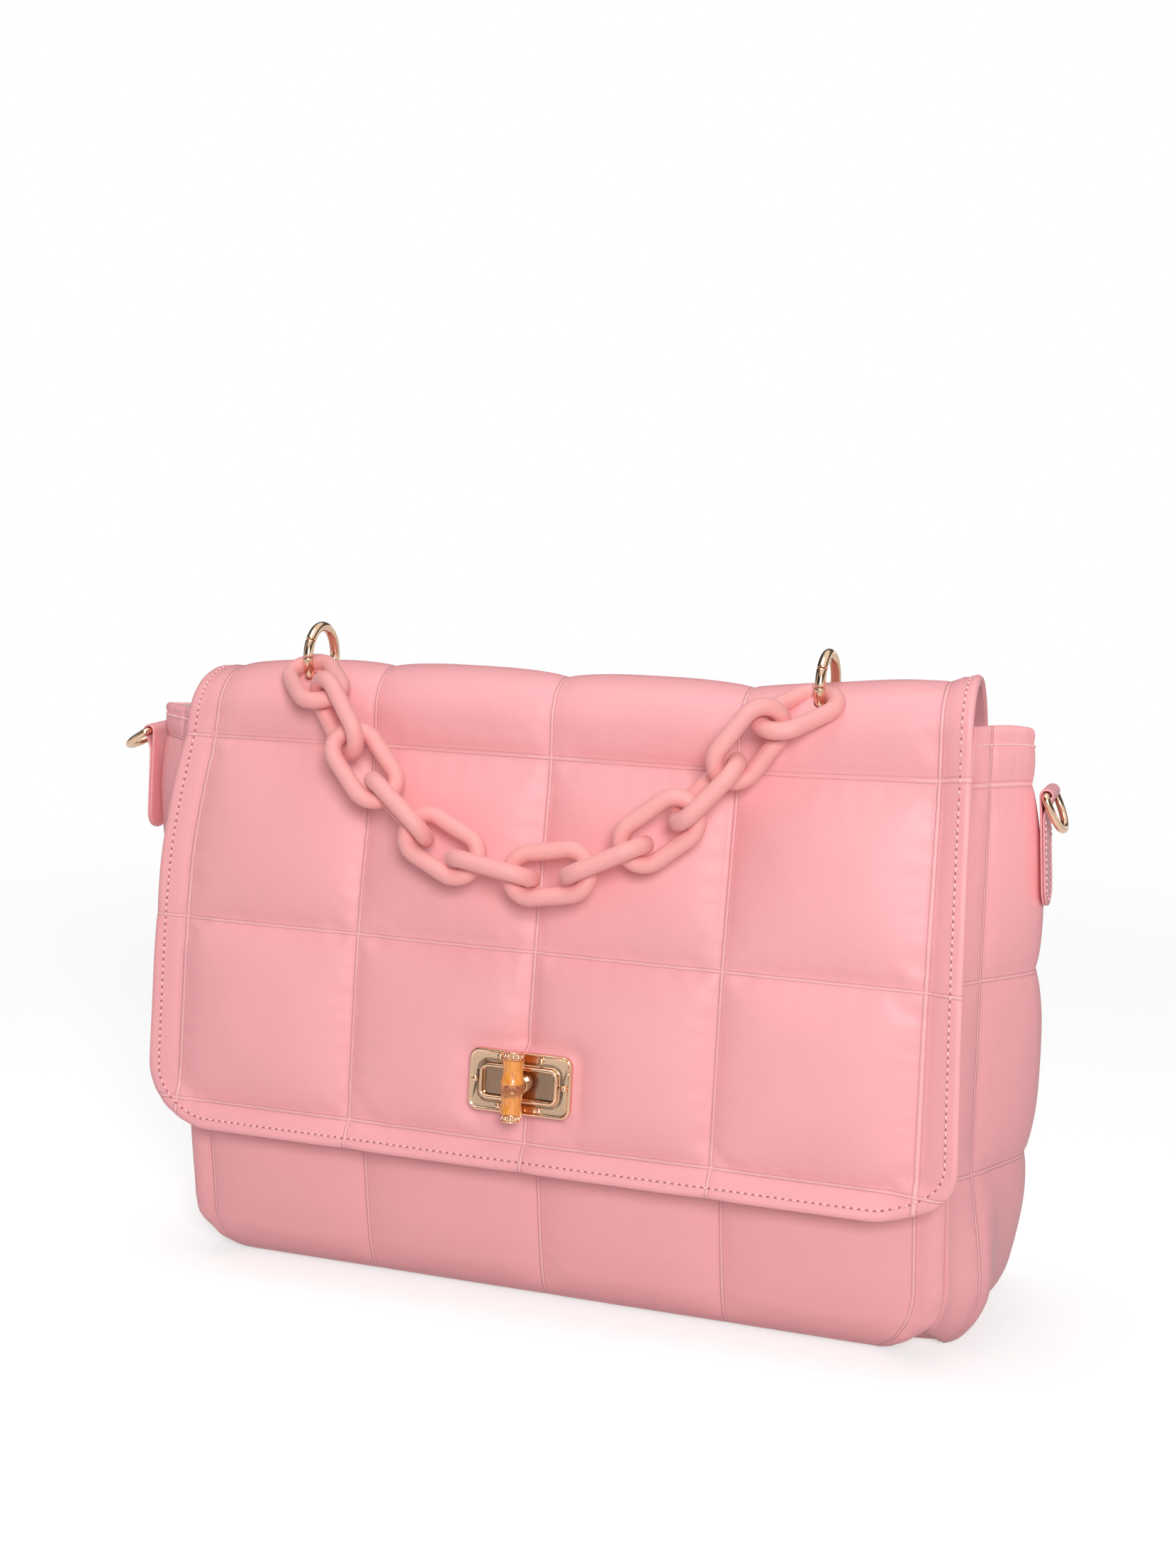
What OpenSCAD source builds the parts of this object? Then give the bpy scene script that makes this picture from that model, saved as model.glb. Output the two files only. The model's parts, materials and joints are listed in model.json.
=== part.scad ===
// Chain shoulder bag: padded body with folded side gussets, quilted flap with a
// turn lock, and a carrying chain of heavy links hung from two rings in the flap.
// Units are millimetres. +Z is up, the front faces -Y, and the origin is the
// centre of the base on the ground.

/* [Body] */
// Width of the body from side seam to side seam
body_w = 292; // [260:1:330]
// Height of the front rim of the mouth
body_h = 208; // [190:1:230]
// Depth of the flat foot that the body stands on
foot_d = 64; // [50:1:80]
// Radius of the rolled lower edge at the front and at the back
edge_r = 18; // [14:1:24]
// Radius of the lower corners, seen from the front
corner_r = 28; // [22:1:36]
// Depth of the mouth over both rims
mouth_d = 35.5; // [30:0.5:42]
// Distance of the rear rim in front of the middle of the foot
mouth_set = 6.5; // [2:0.5:10]
// Thickness of a padded panel
panel_t = 5; // [4:0.5:6]
// How far the front panel swells at half height
front_swell = 10; // [6:0.5:11]
// How far the back panel swells at half height
back_swell = 5; // [2:0.5:8]
// Thickness of the lining
lining_t = 1.2; // [0.8:0.1:1.6]
// Thickness of the stiffening board in the base
board_t = 2.4; // [1.6:0.2:3]

/* [Gussets] */
// How far the fold of a gusset stands out from the side seam
gusset_out = 23; // [16:0.5:28]
// Thickness of a gusset, measured along the width of the bag
gusset_t = 3.5; // [2.5:0.5:4]

/* [Flap] */
// Thickness of the quilted outer leather of the flap
flap_skin_t = 2.8; // [2.2:0.2:3.4]
// Thickness of the flap's lining
flap_lining_t = 1.2; // [0.8:0.1:1.6]
// Clearance between the front rim and the inside of the flap's arch
rim_clear = 1.5; // [1:0.25:2.5]
// How far below the rim the flap's lower edge hangs
flap_drop = 150; // [138:1:158]
// How far below the rim the lowest row of quilting lies
row_low_drop = 140; // [132:1:144]
// How far below the rim the middle row of quilting lies
row_mid_drop = 73; // [63:1:83]
// Distance of the flap's face ahead of the foot's middle at the middle row
row_mid_y = 63; // [61:0.5:68]
// Distance of the flap's face ahead of the foot's middle at the lowest row
row_low_y = 71; // [69:0.5:78]
// Radius of the flap's lower corners
flap_corner_r = 22; // [14:1:30]

/* [Lock] */
// How far below the rim the middle of the lock is
lock_drop = 118; // [112:1:122]
// Width of the lock plate
plate_w = 38; // [34:1:44]
// Height of the lock plate
plate_h = 22; // [20:1:26]
// Thickness of the lock plate
plate_t = 1.6; // [1.2:0.2:2]
// Width of the opening in the lock plate
eye_w = 26; // [25:0.5:28]
// Height of the opening in the lock plate
eye_h = 9.6; // [9:0.2:11]
// Radius of the eye's corners
eye_corner_r = 1.4; // [1:0.1:3]
// Radius of the plate's corners
plate_corner_r = 3.6; // [2:0.1:5]
// Height of the raised rim round the opening
eye_rim_h = 2; // [1:0.25:3]
// Width of the raised rim round the opening
eye_rim_t = 1.6; // [1.2:0.2:2]
// Length of the turning knob with its caps
knob_l = 24.6; // [22:0.2:24.8]
// Radius of the bamboo grip at its ends
grip_r = 4.25; // [3.8:0.05:4.4]
// Radius of the bamboo grip at its waist
grip_waist_r = 3.75; // [3.2:0.05:3.8]
// Distance from the flap's leather to the middle of the grip
grip_ahead = 8.2; // [7.8:0.2:11]
// Radius of the knob's shaft
shaft_r = 2.5; // [2:0.1:2.6]

/* [Top rings] */
// Distance of each ring from the middle of the bag
ring_x = 95; // [80:1:110]
// Height of a ring's centre above the crest of the flap
ring_up = 3.8; // [3.8:0.1:4.4]
// Distance of a ring's centre ahead of the crest of the flap
ring_ahead = 4; // [3.5:0.1:4.5]
// Radius of a ring, to the middle of its wire
ring_r = 10.7; // [10.6:0.1:11]
// Diameter of a ring's wire
ring_wire = 3.6; // [3:0.1:3.7]

/* [Side rings] */
// Width of a side ring over its wire
d_ring_w = 20.5; // [19:0.5:23]
// Diameter of a side ring's wire
d_ring_wire = 2.7; // [2.2:0.1:2.8]
// Length of the straight legs of a side ring
d_ring_leg = 3.9; // [3.5:0.1:6]
// Angle of the left side ring out from straight down
d_tilt_left = 58; // [40:1:80]
// Angle of the right side ring out from straight down
d_tilt_right = 24; // [24:1:60]
// Length of the leather tab below its loop
tab_l = 38; // [32:1:44]
// Thickness of the leather tab
tab_t = 3.4; // [2.8:0.2:4]
// Outer radius of the tab's loop
loop_r = 3.25; // [3:0.05:3.6]
// How far below the rim the middle of the tab's loop is
loop_drop = 11; // [8:1:20]

/* [Chain] */
// Diameter of the wire of a chain link
link_wire = 6.1; // [5.9:0.05:6.15]
// Length of the hole in a chain link
link_hole_l = 22.5; // [22.4:0.1:24]
// Width of the hole in a chain link
link_hole_w = 9.3; // [9.2:0.1:9.8]
// Slack between two links in a straight run
link_slack = 1.5; // [1.4:0.1:1.7]

/* [Hidden] */
$fn = 64;

// Clearances, used wherever one piece lies in, on or beside another
soft_gap = 0.3;
ply_gap = 0.05;
run_gap = 0.05;
ring_gap = 0.35;
overrun = 40;

// Colours
pink = [0.94, 0.64, 0.66];
pink_shade = [0.87, 0.54, 0.57];
link_pink = [0.88, 0.61, 0.60];
lining_tone = [0.85, 0.75, 0.70];
board_tone = [0.62, 0.55, 0.48];
gold = [0.92, 0.76, 0.58];
bamboo = [0.80, 0.50, 0.22];

// Body sizes that follow from the driving ones
seam_x = body_w / 2;
foot_x = seam_x - corner_r;
foot_y = foot_d / 2;
low_y = foot_y + edge_r;
rim_back_y = -mouth_set;
rim_front_y = rim_back_y - mouth_d;
swell_h = body_h - edge_r;
flap_low_z = body_h - flap_drop;
row_low_z = body_h - row_low_drop;
row_mid_z = body_h - row_mid_drop;
lock_z = body_h - lock_drop;
loop_z = body_h - loop_drop;

// Shares across a gusset, from the front seam over the fold to the back seam
fold_y_shares = [0, 0.4, 0.5, 0.6, 1];
fold_x_shares = [0, 0.86, 1, 0.86, 0];
fold_start_share = 0.62;
fold_turn = 124;

// Steps of the curves
arc_steps = 10;
rise_steps = 12;

function mix(a, b, share) = a + (b - a) * share;
function edge_in(z) = z < panel_t ? foot_y
    : foot_y + sqrt(max(0, pow(edge_r - panel_t, 2) - pow(edge_r - z, 2)));
function swell_share(z) = (z - edge_r) / swell_h;
function front_rise_y(z) = mix(-low_y, rim_front_y, swell_share(z))
    - front_swell * sin(180 * swell_share(z));
function back_rise_y(z) = mix(low_y, rim_back_y, (z - edge_r) / (arch_z - edge_r))
    + back_swell * sin(180 * min(1, (z - edge_r) / (arch_z - edge_r)));
function front_in_y(z) = z < edge_r ? -edge_in(z) : front_rise_y(z) + panel_t;
function back_in_y(z) = z < edge_r ? edge_in(z) : back_rise_y(z) - panel_t;

// Side seam stations: [x, z, outward x, outward z]
stations = concat(
    [for (i = [0 : arc_steps]) let (a = 90 * i / arc_steps)
        [foot_x + corner_r * sin(a), corner_r * (1 - cos(a)), sin(a), -cos(a)]],
    [for (i = [1 : rise_steps]) [seam_x, mix(corner_r, body_h, i / rise_steps), 1, 0]]);

function fold_out(z) = gusset_out * sin(fold_turn * pow(z / body_h, fold_start_share));

// Edge heights are read a little lower than the seam, where the rolled edge turns fast
edge_lag = 2;
function lagged(z) = z < edge_r ? max(0, z - edge_lag) : z;
function fold_front_y(z, gap) = front_in_y(lagged(z)) + gap;
function fold_back_y(z, gap) = back_in_y(lagged(z)) - gap;

// A point of the fold: inset is measured inwards from the gusset's outer face
function fold_point(s, j, inset, gap) = let (
        out = fold_x_shares[j] * fold_out(s[1]) - inset,
        y = mix(fold_front_y(s[1], gap), fold_back_y(s[1], gap), fold_y_shares[j]))
    [s[0] + s[2] * out, y, max(0, s[1] + s[3] * out)];

// Flap sizes that follow from the driving ones
flap_t = flap_skin_t + flap_lining_t;
arch_r = (mouth_d + rim_clear + flap_t) / 2;
rim_step = 2.5;
arch_z = body_h - rim_step;
arch_y = rim_back_y - arch_r;
crest_z = arch_z + arch_r;
arch_steps = 24;
mid_dy = -row_mid_y - arch_y;
mid_dz = row_mid_z - arch_z;
arch_end = 360 + atan2(mid_dz, mid_dy) - acos(arch_r / norm([mid_dy, mid_dz]));
face_lean = atan2(row_low_y - row_mid_y, row_mid_z - row_low_z);
hem_out = 1;
face_points = [[-row_mid_y, row_mid_z], [-row_low_y, row_low_z],
    [-row_low_y - hem_out, flap_low_z]];
face_normals = [(arch_end + 180 - face_lean) / 2, 180 - face_lean, 180 - face_lean];
function polar(r, a) = [r * cos(a), r * sin(a)];
function flap_line(depth) = concat(
    [for (i = [0 : arch_steps]) [arch_y, arch_z] + polar(arch_r - depth, arch_end * i / arch_steps)],
    [for (i = [0 : 2]) face_points[i] - polar(depth, face_normals[i])]);

// Lock sizes
lock_y = mix(-row_mid_y, -row_low_y, (row_mid_z - lock_z) / (row_mid_z - row_low_z));
slot_margin = 0.5;
back_plate_trim = 2;
back_plate_t = 1.2;
stud_r = 1.2;
stud_shank_r = 0.8;
stud_dome_h = 0.9;
stud_foot_h = 0.6;
stud_side_inset = 2.4;
stud_x_share = 0.46;
base_r = 8;
base_t = 1.5;
neck_r = 3.8;
neck_gap = 0.5;
spigot_r = 3.4;
web_t = 1;
washer_t = 1;
head_r = 3.2;
head_t = 0.7;
pin_r = 1.5;
pin_l = 2.5;
cap_l = 3;
cap_step = 0.15;
bead_r = 1.5;
bead_sink = 0.6;
panel_lock_y = front_rise_y(lock_z);
lock_depth = (panel_lock_y - lock_y) / cos(face_lean);
neck_end = flap_t + back_plate_t + ply_gap + neck_gap;
collar_start = neck_end - soft_gap;
collar_end = -grip_ahead + grip_waist_r + soft_gap;

// Ring sizes
ring_c = [arch_y - ring_ahead, crest_z + ring_up];
gate_from = 143;
gate_to = 178;
gate_seam = 2;

// Side ring sizes
d_ring_r = (d_ring_w - d_ring_wire) / 2;
bar_bore_r = d_ring_wire / 2 + ring_gap;
tab_w = d_ring_w - 2 * d_ring_wire - 2 * ring_gap;
tab_hem_z = loop_z - tab_l;
tab_top_x = seam_x + fold_out(loop_z) + soft_gap + loop_r;
tab_low_x = seam_x + fold_out(tab_hem_z) + soft_gap + loop_r;
tab_lean = atan2(tab_low_x - tab_top_x, tab_l);
tab_y = (front_rise_y((loop_z + tab_hem_z) / 2) + back_rise_y((loop_z + tab_hem_z) / 2)) / 2;

// Chain sizes. The first link hooks over the front of the ring, and the others hang
// in a plane that leans forward, each turned a quarter from the one before and a little
// more, so that both end links can hook in alike.
hook_angle = 203;
hook_in = 39.8;
hook_fall = 24.8;
hook_tilt = 1;
hang_lean = 15;
hang_start = 55.7;
hang_links = 10;
first_turn = 45;
quarter_turn = 90;
least_twist = 6;
end_twist = 9.6;
hook_gap = 0.35;
join_back = 0.4;
join_side = 0.7;
join_drop = -1.7;
link_bend_r = (link_hole_w + link_wire) / 2;
link_leg = (link_hole_l - link_hole_w) / 2;
link_pitch = link_hole_l - link_slack;

function unit(v) = v / norm(v);
hook_u = [sin(hook_in), -cos(hook_in) * cos(hook_fall), -cos(hook_in) * sin(hook_fall)];
hook_t = [0, sin(hook_angle), -cos(hook_angle)];
hook_side = unit(cross(hook_t, hook_u));
hook_w = hook_side * cos(hook_tilt) + cross(hook_u, hook_side) * sin(hook_tilt);
hook_wire = [-ring_x, ring_c[0] + ring_r * cos(hook_angle), ring_c[1] + ring_r * sin(hook_angle)];
hook_sine = norm(cross(hook_t, hook_u));
hook_end = hook_wire - hook_u * (ring_wire / 2 + hook_gap + link_wire / 2) / hook_sine;
hook_c = hook_end + hook_u * (link_hole_l + link_wire) / 2;
hook_tip = hook_end + hook_u * (link_hole_l + link_wire);
hang_f = [0, -sin(hang_lean), -cos(hang_lean)];
hang_n = [0, -cos(hang_lean), sin(hang_lean)];
function hang_u(a) = [cos(a), 0, 0] + hang_f * sin(a);
start_u = hang_u(hang_start);
join_b = unit(hook_u + start_u);
join_s = unit(cross(hook_u, start_u));
join_q = cross(join_s, join_b);
hang_p = hook_tip - join_b * (link_wire + hook_gap + join_back) + join_s * join_side
    + join_q * join_drop + start_u * (link_wire + link_slack) / 2;

// The sag makes the links' lengths span the gap between the two hooked links
hang_mid = (hang_links + 1) / 2;
function sum(list, i = 0) = i >= len(list) ? 0 : list[i] + sum(list, i + 1);
function hang_angle(k, i) = atan(k * (hang_mid - i));
function hang_span(k) = link_pitch * sum([for (i = [1 : hang_links]) cos(hang_angle(k, i))]);
function solve_sag(lo, hi, n) = n == 0 ? (lo + hi) / 2
    : hang_span((lo + hi) / 2) > -2 * hang_p[0] ? solve_sag((lo + hi) / 2, hi, n - 1)
    : solve_sag(lo, (lo + hi) / 2, n - 1);
sag = solve_sag(0, 3, 30);
function twist(j) = least_twist + end_twist * pow((2 * j - hang_links) / (hang_links - 2), 2);
function hang_point(i) = hang_p + link_pitch
    * [sum([for (j = [1 : 1 : i]) hang_u(hang_angle(sag, j))[0]]),
       sum([for (j = [1 : 1 : i]) hang_u(hang_angle(sag, j))[1]]),
       sum([for (j = [1 : 1 : i]) hang_u(hang_angle(sag, j))[2]])];

// Solid of panels and flap: a side profile run across the bag, cut to a front outline
module across(w) { rotate([90, 0, 90]) translate([0, 0, -w / 2]) linear_extrude(w) children(); }
module front_cut() { translate([0, overrun * 3, 0]) rotate([90, 0, 0]) linear_extrude(overrun * 6) children(); }

module body_outline() {
    translate([-seam_x, corner_r]) square([body_w, body_h]);
    translate([-foot_x, 0]) square([2 * foot_x, corner_r + overrun]);
    for (side = [-1, 1]) translate([side * foot_x, corner_r]) circle(corner_r);
}

function roll(r, steps) = [for (i = [0 : steps]) [-foot_y - r * sin(90 * i / steps), edge_r - r * cos(90 * i / steps)]];
function panel_zs(top) = [for (i = [1 : rise_steps * 2]) mix(edge_r, top, i / (rise_steps * 2))];
function flipped(points) = [for (p = points) [-p[0], p[1]]];
function reversed(points) = [for (i = [len(points) - 1 : -1 : 0]) points[i]];

module front_profile() {
    zs = panel_zs(body_h);
    polygon(concat(roll(edge_r, arc_steps), [for (z = zs) [front_rise_y(z), z]],
        reversed([for (z = zs) [front_rise_y(z) + panel_t, z]]),
        reversed(roll(edge_r - panel_t, arc_steps))));
}

module back_profile() {
    zs = panel_zs(arch_z - soft_gap);
    polygon(concat(flipped(roll(edge_r, arc_steps)), [for (z = zs) [back_rise_y(z), z]],
        reversed([for (z = zs) [back_rise_y(z) - panel_t, z]]),
        reversed(flipped(roll(edge_r - panel_t, arc_steps)))));
}

// Puts children in the lock's frame: the flap's leather is y = 0, and -y points out
module at_lock() { translate([0, lock_y, lock_z]) rotate([-face_lean, 0, 0]) children(); }
module lock_rod(r, from, to) { translate([0, to, 0]) rotate([90, 0, 0]) cylinder(r = r, h = to - from); }

module front_panel() {
    color(pink) difference() {
        intersection() {
            across(body_w) front_profile();
            front_cut() body_outline();
        }
        at_lock() {
            lock_rod(base_r + soft_gap, lock_depth - overrun / 4, lock_depth + base_t + ply_gap);
            lock_rod(spigot_r + ply_gap, lock_depth, lock_depth + panel_t + overrun / 4);
            lock_rod(base_r + soft_gap, lock_depth + base_t + ply_gap + web_t,
                lock_depth + panel_t + overrun / 8);
        }
    }
}

module back_panel() {
    color(pink) intersection() {
        across(body_w) back_profile();
        front_cut() body_outline();
    }
}

module base_panel() {
    color(pink_shade) translate([-foot_x, -foot_y + ply_gap, 0])
        cube([2 * foot_x, foot_d - 2 * ply_gap, panel_t]);
}

// Walls of a loft whose rings have n points, clockwise seen from outside
function loft_faces(rings, n) = [for (r = [0 : rings - 2]) for (i = [0 : n - 1])
    let (a = r * n + i, b = r * n + (i + 1) % n) each [[a, b + n, b], [a, a + n, b + n]]];

module gusset() {
    n = len(fold_x_shares);
    rings = [for (s = stations) concat(
        [for (j = [0 : n - 1]) fold_point(s, j, 0, soft_gap)],
        [for (j = [n - 1 : -1 : 0]) fold_point(s, j, gusset_t, soft_gap)])];
    last = (len(rings) - 1) * 2 * n;
    foot_cap = [for (j = [0 : n - 2]) [j, j + 1, 2 * n - 2 - j, 2 * n - 1 - j]];
    top_cap = [for (j = [0 : n - 2]) [last + j, last + 2 * n - 1 - j, last + 2 * n - 2 - j, last + j + 1]];
    polyhedron([for (r = rings) each r], concat(loft_faces(len(rings), 2 * n), foot_cap, top_cap), convexity = 6);
}

module gusset_left() { color(pink_shade) mirror([1, 0, 0]) translate([ply_gap, 0, 0]) gusset(); }
module gusset_right() { color(pink_shade) translate([ply_gap, 0, 0]) gusset(); }

board_inset = 6;
module base_board() {
    color(board_tone) translate([-foot_x + board_inset, -foot_y + board_inset / 2, panel_t + soft_gap])
        cube([2 * (foot_x - board_inset), foot_d - board_inset, board_t]);
}

// One ring of the lining: right fold from front to back, then left fold from back to front
function lining_ring(s, inset, gap, dz) = let (
        n = len(fold_x_shares),
        right = [for (j = [0 : n - 1]) fold_point(s, j, inset, gap) + [0, 0, dz]])
    concat(right, [for (j = [n - 1 : -1 : 0]) [-right[j][0], right[j][1], right[j][2]]]);
function levelled(ring) = [for (p = ring) [p[0], p[1], ring[0][2]]];
function lining_rings(inset, gap) = concat(
    [levelled(lining_ring(stations[lining_from], inset, gap, 0))],
    [for (i = [lining_from + 2 : len(stations) - 1]) let (s = stations[i])
        lining_ring(s, inset, gap, s[1] == body_h ? -rim_drop : 0)]);
// Walls of the lining: its folds are split along the gussets' own diagonals
function lining_faces(rings, n) = [for (r = [0 : rings - 2]) for (i = [0 : n - 1])
    let (a = r * n + i, b = r * n + (i + 1) % n, crossed = (i < n / 2) == (r < rings / 2))
    each crossed ? [[a, a + n, b], [b, a + n, b + n]] : [[a, b + n, b], [a, a + n, b + n]]];
lining_from = 5;
rim_drop = 0.6;
module lining() {
    outer_in = gusset_t + soft_gap * 2;
    outer = lining_rings(outer_in, soft_gap);
    inner = lining_rings(outer_in + lining_t, soft_gap + lining_t);
    rings = concat(outer, reversed(inner));
    n = 2 * len(fold_x_shares);
    last = (len(rings) - 1) * n;
    color(lining_tone) polyhedron([for (r = rings) each r], concat(lining_faces(len(rings), n),
        [[for (i = [0 : n - 1]) i]], [[for (i = [n - 1 : -1 : 0]) last + i]]), convexity = 8);
}

module tab() {
    translate([tab_top_x, tab_y, loop_z]) rotate([0, -tab_lean, 0]) difference() {
        union() {
            translate([-loop_r, -tab_w / 2, -tab_l + tab_w / 2]) cube([tab_t, tab_w, tab_l - tab_w / 2]);
            translate([-loop_r, 0, -tab_l + tab_w / 2]) rotate([0, 90, 0]) cylinder(r = tab_w / 2, h = tab_t);
            translate([0, tab_w / 2, 0]) rotate([90, 0, 0]) cylinder(r = loop_r, h = tab_w);
        }
        translate([0, tab_w, 0]) rotate([90, 0, 0]) cylinder(r = bar_bore_r, h = 2 * tab_w);
    }
}
module tab_left() { color(pink) mirror([1, 0, 0]) tab(); }
module tab_right() { color(pink) tab(); }

module lock_base() {
    color(gold) at_lock() difference() {
        union() {
            lock_rod(neck_r, neck_end, lock_depth + base_t);
            lock_rod(base_r, lock_depth, lock_depth + base_t);
            lock_rod(spigot_r, lock_depth, lock_depth + base_t + ply_gap + web_t + washer_t);
        }
        lock_rod(shaft_r + run_gap, neck_end - overrun, lock_depth + overrun);
    }
}

module lock_washer() {
    from = lock_depth + base_t + ply_gap + web_t + ply_gap;
    color(gold) at_lock() difference() {
        lock_rod(base_r, from, from + washer_t);
        lock_rod(spigot_r + ply_gap, from - overrun, from + overrun);
    }
}

module flap_outline() {
    translate([-seam_x, flap_low_z + flap_corner_r]) square([body_w, body_h]);
    translate([-seam_x + flap_corner_r, flap_low_z - hem_out])
        square([body_w - 2 * flap_corner_r, flap_corner_r + overrun]);
    for (side = [-1, 1])
        translate([side * (seam_x - flap_corner_r), flap_low_z + flap_corner_r]) circle(flap_corner_r);
}

module ring_torus(x, wire_r) {
    translate([x, ring_c[0], ring_c[1]]) rotate([90, 0, 90]) rotate_extrude() translate([ring_r, 0]) circle(wire_r);
}

module rounded_plate(w, h, r, t) {
    rotate([90, 0, 0]) linear_extrude(t) {
        square([w - 2 * r, h], center = true);
        square([w, h - 2 * r], center = true);
        for (sx = [-1, 1], sz = [-1, 1]) translate([sx * (w / 2 - r), sz * (h / 2 - r)]) circle(r);
    }
}

module eye_slot(margin) {
    translate([0, overrun / 2, 0])
        rounded_plate(eye_w + 2 * margin, eye_h + 2 * margin, eye_corner_r + margin, overrun);
}

stud_x = plate_w / 2 - stud_side_inset;
stud_row = plate_h / 2 - stud_side_inset;
stud_places = [[-stud_x, 0], [stud_x, 0],
    for (sx = [-1, 1], sz = [-1, 1]) [sx * stud_x * stud_x_share, sz * stud_row]];
module at_studs() { for (p = stud_places) translate([p[0], 0, p[1]]) children(); }

module flap_layer(from, to) {
    difference() {
        intersection() {
            across(body_w) polygon(concat(flap_line(from), reversed(flap_line(to))));
            front_cut() flap_outline();
        }
        for (side = [-1, 1]) ring_torus(side * ring_x, ring_wire / 2 + ring_gap);
        at_lock() {
            eye_slot(slot_margin);
            at_studs() lock_rod(stud_shank_r + ply_gap, -overrun / 4, overrun / 4);
        }
    }
}
module flap_outer() { color(pink) flap_layer(0, flap_skin_t); }
module flap_lining() { color(lining_tone) flap_layer(flap_skin_t + ply_gap, flap_t); }

module lock_plate() {
    color(gold) at_lock() difference() {
        union() {
            translate([0, -ply_gap, 0]) rounded_plate(plate_w, plate_h, plate_corner_r, plate_t);
            translate([0, -ply_gap, 0]) rounded_plate(eye_w + 2 * eye_rim_t, eye_h + 2 * eye_rim_t,
                eye_corner_r + eye_rim_t, plate_t + eye_rim_h);
        }
        eye_slot(0);
        at_studs() lock_rod(stud_shank_r + ply_gap, -overrun / 4, overrun / 4);
    }
}

module lock_plate_back() {
    color(gold) at_lock() difference() {
        translate([0, flap_t + ply_gap + back_plate_t, 0]) rounded_plate(plate_w - back_plate_trim,
            plate_h - back_plate_trim, plate_corner_r, back_plate_t);
        eye_slot(slot_margin);
        at_studs() lock_rod(stud_shank_r + ply_gap, -overrun / 4, overrun / 4);
    }
}

module lock_studs() {
    front = -plate_t - 2 * ply_gap;
    rear = flap_t + back_plate_t + 2 * ply_gap;
    color(gold) at_lock() at_studs() {
        lock_rod(stud_shank_r, front - stud_dome_h / 2, rear + stud_foot_h / 2);
        lock_rod(stud_r, rear, rear + stud_foot_h);
        translate([0, front, 0]) rotate([90, 0, 0]) rotate_extrude() intersection() {
            translate([0, stud_dome_h - stud_r]) circle(stud_r);
            square([stud_r, stud_dome_h]);
        }
    }
}

module knob_post() {
    shaft_end = lock_depth + base_t + ply_gap + web_t + washer_t + soft_gap;
    color(gold) at_lock() {
        lock_rod(shaft_r, collar_start - head_t, shaft_end + head_t);
        lock_rod(head_r, shaft_end, shaft_end + head_t);
        lock_rod(neck_r, collar_end, collar_start);
        lock_rod(pin_r, collar_end - soft_gap - pin_l, collar_end + head_t);
    }
}

grip_l = knob_l - 2 * cap_l;
grip_steps = 8;
function grip_at(share) = grip_waist_r + (grip_r - grip_waist_r) * pow(2 * share - 1, 2);
module bamboo_grip() {
    color(bamboo) at_lock() difference() {
        translate([0, -grip_ahead, -grip_l / 2]) rotate_extrude()
            polygon(concat([[0, 0]], [for (i = [0 : grip_steps]) [grip_at(i / grip_steps), grip_l * i / grip_steps]],
                [[0, grip_l]]));
        lock_rod(pin_r + ply_gap, collar_end - soft_gap - pin_l - ply_gap, collar_end + overrun);
    }
}

module knob_caps() {
    color(gold) at_lock() for (end = [0, 1]) translate([0, -grip_ahead, 0]) mirror([0, 0, end])
        translate([0, 0, grip_l / 2 + ply_gap]) {
            cylinder(r = grip_r + cap_step, h = cap_l - 2 * bead_r + bead_sink);
            translate([0, 0, cap_l - bead_r - ply_gap]) sphere(bead_r);
        }
}

module ring_part(x, from, to) {
    translate([x, ring_c[0], ring_c[1]]) rotate([90, 0, 90]) rotate([0, 0, from])
        rotate_extrude(angle = to - from) translate([ring_r, 0]) circle(ring_wire / 2);
}
module top_ring_left() { color(gold) ring_part(-ring_x, gate_to, gate_from + 360); }
module top_ring_right() { color(gold) ring_part(ring_x, gate_to, gate_from + 360); }
module gate_left() { color(gold) ring_part(-ring_x, gate_from + gate_seam, gate_to - gate_seam); }
module gate_right() { color(gold) ring_part(ring_x, gate_from + gate_seam, gate_to - gate_seam); }

// A side ring with its straight bar on the y axis, pointing down
module d_ring() {
    wire_r = d_ring_wire / 2;
    translate([0, d_ring_r, 0]) rotate([90, 0, 0]) cylinder(r = wire_r, h = 2 * d_ring_r);
    for (side = [-1, 1]) {
        translate([0, side * d_ring_r, -d_ring_leg]) cylinder(r = wire_r, h = d_ring_leg);
        translate([0, side * d_ring_r, 0]) sphere(wire_r);
    }
    translate([0, 0, -d_ring_leg]) rotate([0, 90, 0]) rotate([0, 0, -90])
        rotate_extrude(angle = 180) translate([d_ring_r, 0]) circle(wire_r);
}
module at_loop(side, tilt) { translate([side * tab_top_x, tab_y, loop_z]) rotate([0, -side * tilt, 0]) children(); }
module side_ring_left() { color(gold) at_loop(-1, d_tilt_left) d_ring(); }
module side_ring_right() { color(gold) at_loop(1, d_tilt_right) d_ring(); }

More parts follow.
